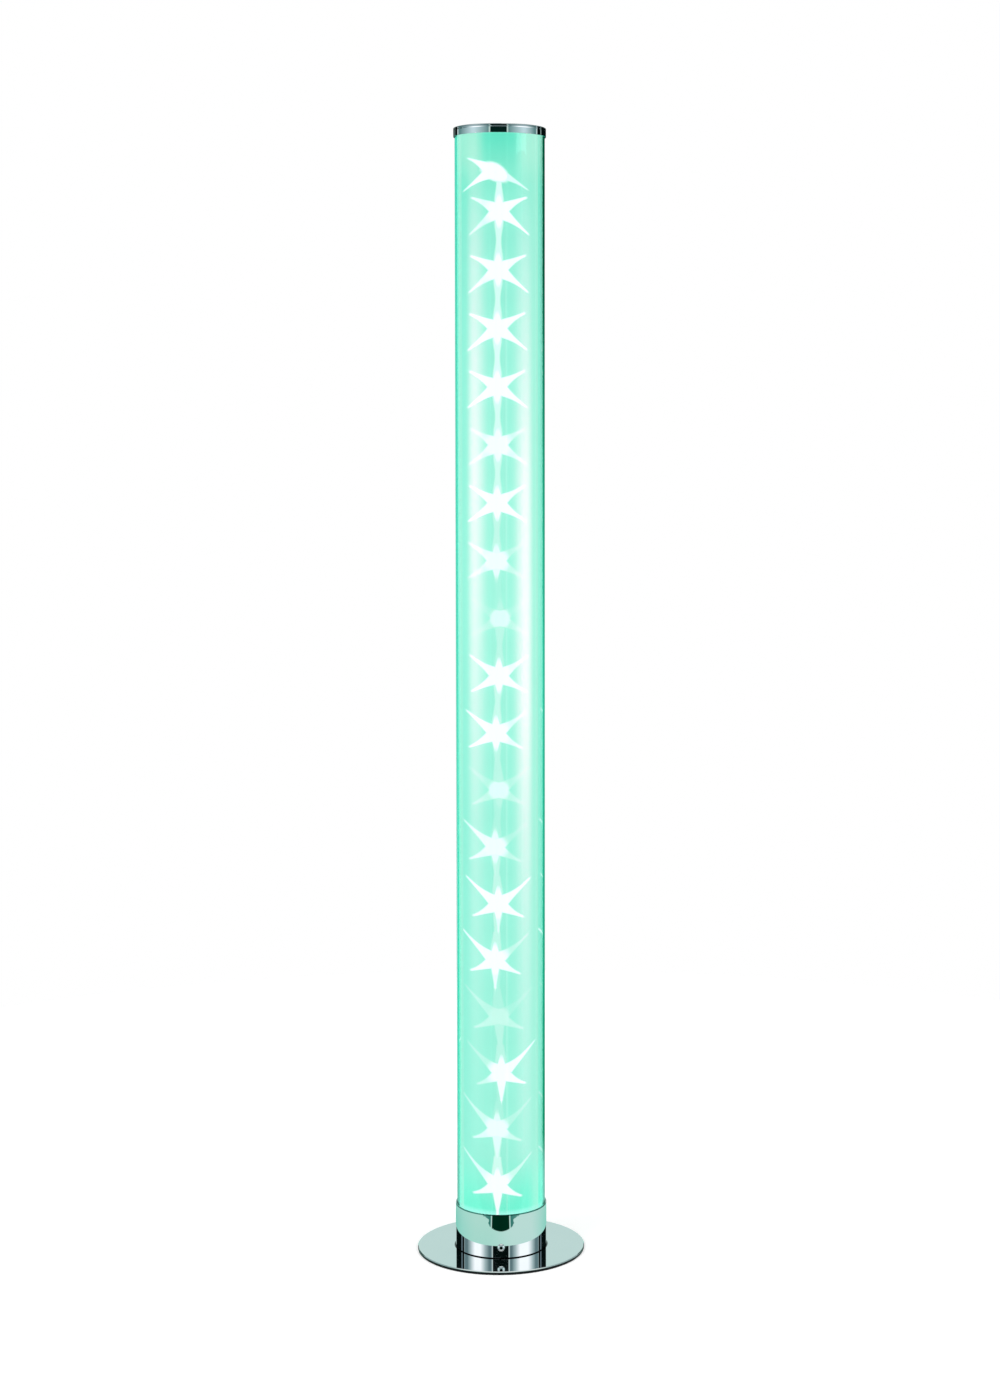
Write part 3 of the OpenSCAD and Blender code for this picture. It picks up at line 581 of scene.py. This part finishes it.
def slanting_arms(side, rise, low):
    """Four slanting arms. Near the foot the upper ones grow long and the lower ones short."""
    above, tall, wide = rise > 0, abs(rise), abs(side)
    reach = ((31 - low * 5) + above * (low * 12 - 2)) * 1.19
    out = wide * math.cos(SLANT) + tall * math.sin(SLANT)
    off = abs(tall * math.cos(SLANT) - wide * math.sin(SLANT))
    left = (1 - out / reach).math("MAXIMUM", 0)
    return step(left * left * 7.7 + 1.0 - off, -0.8, 1.0) * step(reach - out, 0, 4)


def spear(distance, low):
    """Half the width of the long lower arm that stars near the foot have, at a distance from the heart."""
    length, root = 37, 7.2
    return (1 - distance * (1 / length)).math("MAXIMUM", 0) * root * low


print("star helpers ready")


# %% One column of stars
STRAIGHT_Z, HALF_STAR = 725, 29  # mm: the height where the arms don't bow, and half a star's width


def top_star(across, level):
    """The star under the cap, which the cap cuts off: two arms to the left, one to the right and a blot."""
    side, rise = across + 7.2, level - LAST_ROW
    left_arms = one_arm(side, rise, 142, 33, 7.6).math("MAXIMUM", one_arm(side, rise, 204, 33, 7.6))
    arms = left_arms.math("MAXIMUM", one_arm(side, rise, -22, 40, 8.4) * 0.74)
    side, rise = side - 2.2, rise + 0.8
    blot = (side * side * 0.6 + rise * rise + side * rise * 0.75).math("SQRT")
    return arms.math("MAXIMUM", step(blot, 11.0, 7.4))


def star_light(across, z, fade):
    """How white the film is, from 0 for the plain wall over 0.5 for a pale streak to 1 for a star."""
    bow = (STRAIGHT_Z - z) * 0.0115 * across * across * (1 / HALF_STAR ** 2)
    level, low = z - bow, step(z, 900, 100)
    row = ((level - FIRST_ROW) * (1 / PITCH)).math("ROUND").math("MAXIMUM", 0)
    row = row.math("MINIMUM", len(STARS) - 1)
    (core, shift), (up_left, up_right, upward), (low_left, low_right, downward) = row_values(row)
    (next_core, next_shift), (_, last_shift) = row_values(row + 1)[0], row_values(row - 1)[0]
    rise = level - FIRST_ROW - row * PITCH
    rise = rise + bow.math("MAXIMUM", 0) * (rise < 0) * 0.3
    side = across - shift
    tall, wide, far = abs(rise), abs(side), from_axis(side, rise)

    # Four slanting arms, each as strong as the table says, and all as strong as the core near the heart
    right, above = step(side, -3, 3), step(rise, -3, 3)
    upper = up_left + right * (up_right - up_left)
    lower = low_left + right * (low_right - low_left)
    arms = lower + above * (upper - lower)
    full = step(core, 0.8, 1.0)
    arms = arms + step(far, 13 + full * 6, 8 + full) * (core - arms).math("MAXIMUM", 0)
    slant = slanting_arms(side, rise, low) * arms

    # The upright arm, and the end of the long spear that hangs from the next star up
    taper = (1 - tall * (1 / 25)).math("MAXIMUM", 0)
    half_width = (taper * taper * 6.4 + 2.0).math("MAXIMUM", spear(tall, low) * (rise < 0))
    upright = step(half_width - wide, -0.4, 1.6) * core * step(core, 0.45, 1.0)
    upright = upright * step(tall, 27, 12).math("MAXIMUM", (rise < 0) * low)
    drop = spear(PITCH - rise, low) * (rise > 0) - abs(across - next_shift)
    drop = step(drop, 0, 1.6) * next_core

    # The pale streak, which runs from heart to heart, and the heart itself
    streak = downward + (rise > 0) * (upward - downward)
    beside = last_shift + (rise > 0) * (next_shift - last_shift)
    off = abs(side - (beside - shift) * tall * (1 / PITCH))
    ribbon = step(2.6 + low * above * 1.2 + step(tall, 28, 9) * 2.0 - off, -0.9, 0.9) * streak
    heart = (tall * 0.5 + wide * 0.866).math("MAXIMUM", tall)
    star = step(heart, 9.8, 7.4 - (1 - core) * 7) * core
    for part in (slant, upright, drop, ribbon):
        star = star.math("MAXIMUM", part)
    star = star * step(level, 1114, 1102)
    halo = step(far, 34, 6) * core
    return star.math("MAXIMUM", top_star(across, level) * (1 - fade)), halo


print("one column holds", len(STARS) + 1, "stars")

# %% [markdown]
# Three columns of lights look out of the tube at 120 degrees. The angle round the tube is folded onto the
# nearest column, and its sine gives the distance to the side as the eye sees it. The film's own colour runs
# from a deep teal under the cap to a light teal in the middle and back to a strong green at the collar, with
# a bright line along the cap and one along the collar. The emission is a little stronger than the colours
# read, and most of all in red, because the acrylic in front of it takes some away.


# %% Star finish
# Screen colours over the height in mm, from the collar to the cap
WALL_TOP = 1150
GREEN, RIM, LIGHT, TEAL = (123, 245, 213), (174, 255, 239), (164, 241, 220), (104, 226, 196)
WALL = [(46.8, GREEN), (48, RIM), (50, RIM), (51.5, GREEN), (60, GREEN), (108, LIGHT), (450, LIGHT),
        (682, (171, 245, 224)), (918, LIGHT), (1035, (153, 236, 214)), (1105, (138, 233, 207)),
        (1138, TEAL), (1141.9, TEAL), (1142.7, LIGHT)]
FILM_RADIUS = -1000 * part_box("star_film")[0][0]
SEAM_X = 5.9
STRENGTH = 1.6
LOST_IN_ACRYLIC = (1.40, 1.009, 1.040)  # what red, green and blue must gain to read right through the tube


def star_glow(place):
    x, y, z = millimetres(place)
    bearing = azimuth(x, y)
    across = sideways(x, y) * FILM_RADIUS
    to_front = across * (1 - (bearing > 60) * 2)
    fade = step(abs(bearing), 59, 61) * step(to_front, 12, 27)
    star, halo = star_light(across, z, fade)
    wall = chart(z, 0, WALL_TOP, [(at, tint(*colour)) for at, colour in WALL])
    wall = blend(step(z, 1085, 1125) * step(abs(across), 12, 27), wall, tint(174, 237, 214))
    wall = blend(step(across, 26, 38) * 0.55, wall, tint(204, 244, 226))
    wall = blend(halo * 0.25, wall, tint(178, 255, 235))
    seam = step(abs(x - SEAM_X), 0.7, 0.25) * step(y, 0, -5) * step(z, 1060, 1000) * 0.16
    white = star.math("MAXIMUM", seam)
    glow = blend((white * 2).math("MINIMUM", 1), wall, tint(206, 249, 236))
    glow = blend((white * 2 - 1).math("MAXIMUM", 0), glow, (1.12, 1.2, 1.19, 1))
    glow = combine("MULTIPLY", glow, (*(gain / STRENGTH for gain in LOST_IN_ACRYLIC), 1))
    return {"Base Color": (0.03, 0.08, 0.07, 1), "Roughness": 0.3, "Emission Color": glow,
            "Emission Strength": STRENGTH}


star_film = finish("lit_star_film", star_glow)
print("film finish nodes:", len(star_film.node_tree.nodes))

# %% [markdown]
# ## The film
# The film is a plain sheet, rolled up and slid into the tube, where it springs out against the wall and laps
# over itself by 15 mm. A rolled sheet follows a rule: every point keeps the same height, and the radius
# steps up by one thickness where the lap begins. That suits Geometry Nodes, which sweep a thin upright
# rectangle along the spiral.


# %% Roll the film
def new_tree(name, inputs):
    tree = bpy.data.node_groups.new(name, "GeometryNodeTree")
    tree.interface.new_socket("Geometry", in_out="INPUT", socket_type="NodeSocketGeometry")
    for label, kind, _ in inputs:
        tree.interface.new_socket(label, in_out="INPUT", socket_type=kind)
    tree.interface.new_socket("Geometry", in_out="OUTPUT", socket_type="NodeSocketGeometry")
    bench = Bench(tree)
    given = bench.add("NodeGroupInput")
    return tree, bench, {s.name: Wire(bench, s) for s in given.socket.node.outputs if s.name}


def grow(name, tree, inputs):
    """Runs a tree on an empty mesh, and keeps the result as a plain mesh object at the origin."""
    seed = bpy.data.objects.new(name + "_seed", bpy.data.meshes.new(name + "_seed"))
    bpy.context.scene.collection.objects.link(seed)
    modifier = seed.modifiers.new("nodes", "NODES")
    modifier.node_group = tree
    labels = {item.name: item.identifier for item in tree.interface.items_tree if item.in_out == "INPUT"}
    for label, _, value in inputs:
        modifier[labels[label]] = value
    deps = bpy.context.evaluated_depsgraph_get()
    mesh = bpy.data.meshes.new_from_object(seed.evaluated_get(deps), depsgraph=deps)
    seed.modifiers.remove(modifier)
    bpy.data.objects.remove(seed)
    piece = bpy.data.objects.new(name, mesh)
    mesh.name = name
    bpy.context.scene.collection.objects.link(piece)
    print(name, "faces:", len(mesh.polygons))
    return piece


END_GAP, LAP_STEP, LAP_SPACE = 0.02, 0.07, 1.05  # two angles in radians, and a share of the thickness
film_low, film_high = (corner[2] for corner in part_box("star_film"))
film_inputs = [("Inner radius", "NodeSocketFloat", 0.0428), ("Thickness", "NodeSocketFloat", 0.00028),
               ("Free edge", "NodeSocketFloat", math.radians(-81.5)),
               ("Lap", "NodeSocketFloat", math.radians(19.5)),
               ("Bottom", "NodeSocketFloat", film_low), ("Top", "NodeSocketFloat", film_high),
               ("Points", "NodeSocketInt", 420), ("Finish", "NodeSocketMaterial", star_film)]
tree, bench, given = new_tree("rolled_sheet", film_inputs)
ends = {"Start": (0, 0, 0), "End": (1, 0, 0)}
line = bench.add("GeometryNodeCurvePrimitiveLine", {"mode": "POINTS"}, ends)
points = bench.add("GeometryNodeResampleCurve", None, {"Curve": line, "Count": given["Points"]})
along = bench.add("GeometryNodeSplineParameter", None, None, out="Factor")
angle = given["Free edge"] + along * (given["Lap"] + 2 * math.pi - END_GAP)
lap_end = given["Free edge"] + given["Lap"]
in_lap = 1 - step(angle, lap_end, lap_end + LAP_STEP)
radius = given["Inner radius"] + given["Thickness"] * 0.5 + in_lap * (given["Thickness"] * LAP_SPACE)
middle = (given["Bottom"] + given["Top"]) * 0.5
spot = join(radius * angle.math("COSINE"), radius * angle.math("SINE"), middle)
spiral = bench.add("GeometryNodeSetPosition", None, {"Geometry": points, "Position": spot})
edge = bench.add("GeometryNodeCurvePrimitiveQuadrilateral", None,
                 {"Width": given["Thickness"], "Height": given["Top"] - given["Bottom"]})
sheet = bench.add("GeometryNodeCurveToMesh", None,
                  {"Curve": spiral, "Profile Curve": edge, "Fill Caps": True})
smooth = bench.add("GeometryNodeSetShadeSmooth", None, {"Geometry": sheet})
real = bench.add("GeometryNodeRealizeInstances", None, {"Geometry": smooth})
dressed = bench.add("GeometryNodeSetMaterial", None, {"Geometry": real, "Material": given["Finish"]})
bench.add("NodeGroupOutput", None, {0: dressed})
film = grow("film_sheet", tree, film_inputs)
film.data.set_sharp_from_angle(angle=math.radians(40))
points = [vertex.co for vertex in film.data.vertices]
size = [max(point[i] for point in points) - min(point[i] for point in points) for i in range(3)]
print("rolled film measures", [round(side, 4) for side in size])
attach(film, "root")
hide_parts("star_film")


# %% [markdown]
# ## The acrylic tube
# Extruded acrylic bends light by an index of 1.49 and is clear through its 2 mm wall, but along the wall,
# where the edge of the tube shows, the eye looks through many times that thickness and sees its tint. A
# volume that swallows red does just that. The die leaves faint draw lines along the whole length, as a bump.


# %% Acrylic finish
def acrylic(place):
    drawn = noise(place, 700, (1, 1, 0.004), 2.0)
    cloud = noise(place, 14, (1, 1, 0.4))
    return {"Base Color": blend(cloud, (0.98, 1.0, 0.99, 1), (0.99, 1.0, 1.0, 1)), "Roughness": 0.0,
            "IOR": 1.49, "Transmission Weight": 1.0, "Normal": bump(drawn, 0.000004)}


clear = finish("clear_acrylic", acrylic)
thick = clear.node_tree.nodes.new("ShaderNodeVolumeAbsorption")
thick.inputs["Color"].default_value = (0.0, 0.97, 0.88, 1)
thick.inputs["Density"].default_value = 200.0
outlet = next(n for n in clear.node_tree.nodes if n.type == "OUTPUT_MATERIAL")
clear.node_tree.links.new(thick.outputs[0], outlet.inputs["Volume"])
use(clear, "tube")


# %% [markdown]
# ## Paint and foam under the disc
# The steel ballast under the disc is painted black, with the faint orange peel of sprayed paint, and below
# it a disc of black foam keeps the floor from being scratched. Both show only as the disc's dark rim.


# %% Paint and foam
def black_paint(place):
    peel, cloud = noise(place, 900), noise(place, 40)
    return {"Base Color": blend(cloud, (0.006, 0.007, 0.008, 1), (0.012, 0.013, 0.014, 1)),
            "Roughness": noise(place, 70) * 0.12 + 0.4, "Specular IOR Level": 0.12,
            "Normal": bump(peel, 0.00004)}


def foam(place):
    cells = place.bench.add("ShaderNodeTexVoronoi", None, {"Vector": place, "Scale": 1400.0})
    return {"Base Color": blend(cells, (0.008, 0.008, 0.009, 1), (0.03, 0.03, 0.032, 1)), "Roughness": 0.92,
            "Normal": bump(cells, 0.0001)}


use(finish("black_paint", black_paint), "ballast_plate")
use(finish("closed_cell_foam", foam), "floor_pad", "cap_tape")

# %% [markdown]
# ## Mouldings, rubber and plain screws
# The foot socket, the cap plug and the cord clamp are moulded in a spark-eroded tool, which leaves a fine
# matt grain. The cord's bush at the back is soft rubber with a bloom of grey on it. The hidden screws are
# zinc plated: brighter on the ridges that turning left, duller between them.


# %% Moulding, rubber and zinc
def moulding(place):
    grain, flow = noise(place, 1600, detail=3.0), noise(place, 40)
    return {"Base Color": blend(flow, (0.012, 0.012, 0.013, 1), (0.023, 0.023, 0.025, 1)),
            "Roughness": grain * 0.2 + 0.42, "Normal": bump(grain, 0.00003)}


def rubber(place):
    bloom, pores = noise(place, 90, detail=4.0), noise(place, 2200)
    return {"Base Color": blend(step(bloom, 0.45, 0.8), (0.014, 0.014, 0.014, 1), (0.045, 0.046, 0.046, 1)),
            "Roughness": bloom * 0.2 + 0.62, "Normal": bump(pores, 0.00004)}


def zinc(place):
    turned, dull = noise(place, 300, (1, 1, 9)), noise(place, 150)
    return {"Base Color": blend(dull, (0.55, 0.58, 0.6, 1), (0.72, 0.74, 0.74, 1)), "Metallic": 1.0,
            "Roughness": dull * 0.18 + 0.24, "Normal": bump(turned, 0.00002)}


zinc_steel = finish("zinc_plated_steel", zinc)
use(finish("black_moulding", moulding), "foot_socket", "cap_plug", "cord_clamp")
use(finish("bloomed_rubber", rubber), "cord_gland")
use(zinc_steel, "base_screws", "board_screws", "clamp_screws", "terminal_screws")

# %% [markdown]
# ## The light bar, its strips and its lights
# The bar is powder coated white, to lose no light. A strip is a white film over two copper tracks, which
# show through as faint raised lines, with a printed cut mark between lights. Each light is a white body
# round a domed window, which glows. The resistors are black with bright end caps, and the caps are found
# from the height above the light below. The four wires of each strip are black, red, green and blue.


# %% Bar, strips, lights, resistors and wires
LIGHT_Z, LIGHT_STEP, TOP_LIGHT_Z = 69.3, 58.68, 1107.6
RESISTOR_ABOVE = 4.5  # from the middle of a light to the lower end of the resistor over it


def powder_coat(place):
    peel = noise(place, 420, detail=3.0)
    return {"Base Color": blend(noise(place, 30), (0.78, 0.79, 0.78, 1), (0.84, 0.84, 0.83, 1)),
            "Roughness": peel * 0.2 + 0.35, "Normal": bump(peel, 0.00008)}


def strip_film(place):
    x, y, z = millimetres(place)
    across = abs(sideways(x, y) * from_axis(x, y))
    track = step(abs(across - 3.9), 0.6, 0.4)
    beat = (z - LIGHT_Z) * (1 / LIGHT_STEP) - 0.5
    mark = step(abs(beat - beat.math("ROUND")) * LIGHT_STEP, 0.35, 0.2)
    white = blend(noise(place, 200), (0.8, 0.79, 0.74, 1), (0.86, 0.85, 0.8, 1))
    tracked = blend(track * 0.5, white, (0.72, 0.6, 0.44, 1))
    return {"Base Color": blend(mark, tracked, (0.05, 0.05, 0.05, 1)),
            "Roughness": 0.38 + noise(place, 800) * 0.1, "Normal": bump(track, 0.00005)}


def light_body(place):
    grain = noise(place, 1500)
    return {"Base Color": blend(grain, (0.8, 0.8, 0.78, 1), (0.9, 0.9, 0.88, 1)),
            "Roughness": grain * 0.15 + 0.3}


def light_window(place):
    cloud = noise(place, 900)
    return {"Base Color": blend(cloud, (0.6, 0.85, 0.78, 1), (0.8, 0.9, 0.8, 1)),
            "Roughness": cloud * 0.2 + 0.1, "Emission Strength": 1.2,
            "Emission Color": blend(cloud, tint(150, 250, 225), tint(215, 255, 245))}


def resistor(place):
    _, _, z = millimetres(place)
    rise = z - LIGHT_Z - RESISTOR_ABOVE
    rise = rise - (rise * (1 / LIGHT_STEP)).math("FLOOR") * LIGHT_STEP
    rise = rise + (z > TOP_LIGHT_Z) * (z - TOP_LIGHT_Z - RESISTOR_ABOVE - rise)
    cap = step(rise, 0.6, 0.5).math("MAXIMUM", step(rise, 2.6, 2.7))
    black = blend(noise(place, 600), (0.01, 0.01, 0.011, 1), (0.03, 0.03, 0.03, 1))
    return {"Base Color": blend(cap, black, (0.7, 0.7, 0.68, 1)), "Metallic": cap,
            "Roughness": noise(place, 900) * 0.15 + 0.3}


def wire_skin(place):
    x, y, _ = millimetres(place)
    across = sideways(x, y) * from_axis(x, y)
    skins = [(0, (0.02, 0.02, 0.02)), (0.36, (0.55, 0.03, 0.02)), (0.5, (0.03, 0.3, 0.06)),
             (0.64, (0.03, 0.09, 0.5))]
    colour = ramp(across * (1 / 14) + 0.5, skins, "CONSTANT")
    dust = noise(place, 300)
    return {"Base Color": blend(dust * 0.25, colour, (0.3, 0.3, 0.3, 1)), "Roughness": dust * 0.2 + 0.35}


use(finish("white_powder_coat", powder_coat), "light_bar")
use(finish("strip_film", strip_film), "strip_front", "strip_left", "strip_right")
use(finish("light_body", light_body), "leds_front", "leds_left", "leds_right")
use(finish("light_window", light_window), "lenses_front", "lenses_left", "lenses_right")
use(finish("film_resistor", resistor), "strip_resistors")
use(finish("coloured_insulation", wire_skin), "strip_leads")

# %% [markdown]
# ## The controller
# The board is green glass laminate with copper under the green, which runs as rings round the bar's opening.
# Its cut edges show the pale laminate. The chips are matt epoxy on tinned legs, the capacitor is an
# aluminium can in a printed sleeve with a pale stripe on its minus side, and the terminal block is green
# nylon.


# %% Board and its parts
board_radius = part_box("controller_board")[1][0] * 1000
BOARD_HOLE = 16  # radius of the opening for the light bar
can_low, can_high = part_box("buffer_capacitor")
can_x, can_y = (500 * (can_low[i] + can_high[i]) for i in (0, 1))
can_top = can_high[2] * 1000
chip_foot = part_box("control_chip")[0][2] * 1000


def laminate(place):
    x, y, _ = millimetres(place)
    reach = from_axis(x, y)
    lanes = (reach * 1.1 + noise(place, 120) * 3).math("FRACT")
    copper = step(abs(lanes - 0.5), 0.3, 0.22) * step(noise(place, 60), 0.42, 0.5)
    outer = step(reach - board_radius, -0.25, -0.1)
    edge = outer.math("MAXIMUM", step(reach - BOARD_HOLE, 0.1, -0.1))
    green = blend(copper, (0.008, 0.11, 0.05, 1), (0.03, 0.22, 0.09, 1))
    return {"Base Color": blend(edge, green, (0.55, 0.55, 0.33, 1)),
            "Roughness": 0.28 + noise(place, 700) * 0.12, "Normal": bump(copper, 0.00004)}


def chip_epoxy(place):
    _, _, z = millimetres(place)
    leg = step(z - chip_foot, 0.145, 0.12)
    grain = noise(place, 2500)
    epoxy = blend(grain, (0.012, 0.012, 0.013, 1), (0.03, 0.03, 0.032, 1))
    return {"Base Color": blend(leg, epoxy, (0.7, 0.7, 0.69, 1)), "Metallic": leg,
            "Roughness": grain * 0.2 + 0.45, "Normal": bump(grain, 0.00002)}


def can(place):
    x, y, z = millimetres(place)
    aside, back = x - can_x, y - can_y
    top = step(z - can_top, -0.5, -0.35)
    stripe = step(abs(back.math("ARCTAN2", aside)), 0.42, 0.36)
    score = step(abs(aside).math("MINIMUM", abs(back)), 0.2, 0.1) * top
    sleeve = blend(stripe, (0.012, 0.014, 0.03, 1), (0.5, 0.52, 0.55, 1))
    metal = blend(noise(place, 800), (0.6, 0.6, 0.6, 1), (0.75, 0.75, 0.75, 1))
    return {"Base Color": blend(top, sleeve, metal), "Metallic": top,
            "Roughness": noise(place, 500) * 0.15 + 0.25, "Normal": bump(1 - score, 0.0001)}


def nylon(place):
    grain = noise(place, 1300, detail=3.0)
    return {"Base Color": blend(noise(place, 90), (0.02, 0.2, 0.09, 1), (0.03, 0.28, 0.12, 1)),
            "Roughness": grain * 0.2 + 0.38, "Normal": bump(grain, 0.00003)}


use(finish("green_laminate", laminate), "controller_board")
use(finish("chip_epoxy", chip_epoxy), "control_chip", "switching_transistors")
use(finish("sleeved_can", can), "buffer_capacitor")
use(finish("green_nylon", nylon), "terminal_block")

# %% [markdown]
# ## Solder joints
# Each light sits on four small mounds of solder, two a side, and there are three strips of nineteen lights.
# What repeats by a rule belongs in Geometry Nodes: one mound is modelled, and the index of each point gives
# its light, its strip and its corner. The uppermost light is closer than the pitch, so the height is capped.


# %% Solder joints by index
SIDES, MOUNDS = 3, 4  # strips, and mounds under each light
solder_inputs = [("Lights", "NodeSocketInt", 19), ("First height", "NodeSocketFloat", LIGHT_Z / 1000),
                 ("Pitch", "NodeSocketFloat", LIGHT_STEP / 1000),
                 ("Last height", "NodeSocketFloat", TOP_LIGHT_Z / 1000),
                 ("Beside", "NodeSocketFloat", 0.00285), ("Above", "NodeSocketFloat", 0.0015),
                 ("Face radius", "NodeSocketFloat", 0.00833), ("Mound", "NodeSocketFloat", 0.0007),
                 ("Finish", "NodeSocketMaterial", zinc_steel)]
tree, bench, given = new_tree("solder_joints", solder_inputs)
index = bench.add("GeometryNodeInputIndex")
light = (index * (1 / (SIDES * MOUNDS))).math("FLOOR")
strip = (index * (1 / MOUNDS)).math("FLOOR").math("FLOORED_MODULO", SIDES)
right = index.math("FLOORED_MODULO", 2) * 2 - 1
upper = (index * 0.5).math("FLOOR").math("FLOORED_MODULO", 2) * 2 - 1
turned = strip * (2 * math.pi / SIDES) - math.pi / 2
cosine, sine = turned.math("COSINE"), turned.math("SINE")
out, beside = given["Face radius"], right * given["Beside"]
tall = (given["First height"] + light * given["Pitch"]).math("MINIMUM", given["Last height"])
spot = join(out * cosine - beside * sine, out * sine + beside * cosine, tall + upper * given["Above"])
count = given["Lights"] * (SIDES * MOUNDS)
points = bench.add("GeometryNodePoints", None, {"Count": count, "Position": spot})
ball = bench.add("GeometryNodeMeshUVSphere", None, {"Segments": 14, "Rings": 8, "Radius": 1.0})
x, y, z = split(bench.add("GeometryNodeInputPosition"))
pinch = 1 - x.math("MAXIMUM", 0) * 0.35
mound = join(x * ((x > 0) * 0.4 + 0.05), y * pinch * 0.7, z * pinch)
ball = bench.add("GeometryNodeSetPosition", None, {"Geometry": ball, "Position": mound})
size = given["Mound"]
placed = bench.add("GeometryNodeInstanceOnPoints", None,
                   {"Points": points, "Instance": ball, "Rotation": join(0.0, 0.0, turned),
                    "Scale": join(size, size, size)})
real = bench.add("GeometryNodeRealizeInstances", None, {"Geometry": placed})
smooth = bench.add("GeometryNodeSetShadeSmooth", None, {"Geometry": real})
dressed = bench.add("GeometryNodeSetMaterial", None, {"Geometry": smooth, "Material": given["Finish"]})
bench.add("NodeGroupOutput", None, {0: dressed})
solder = grow("solder_joints", tree, solder_inputs)
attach(solder, "root")
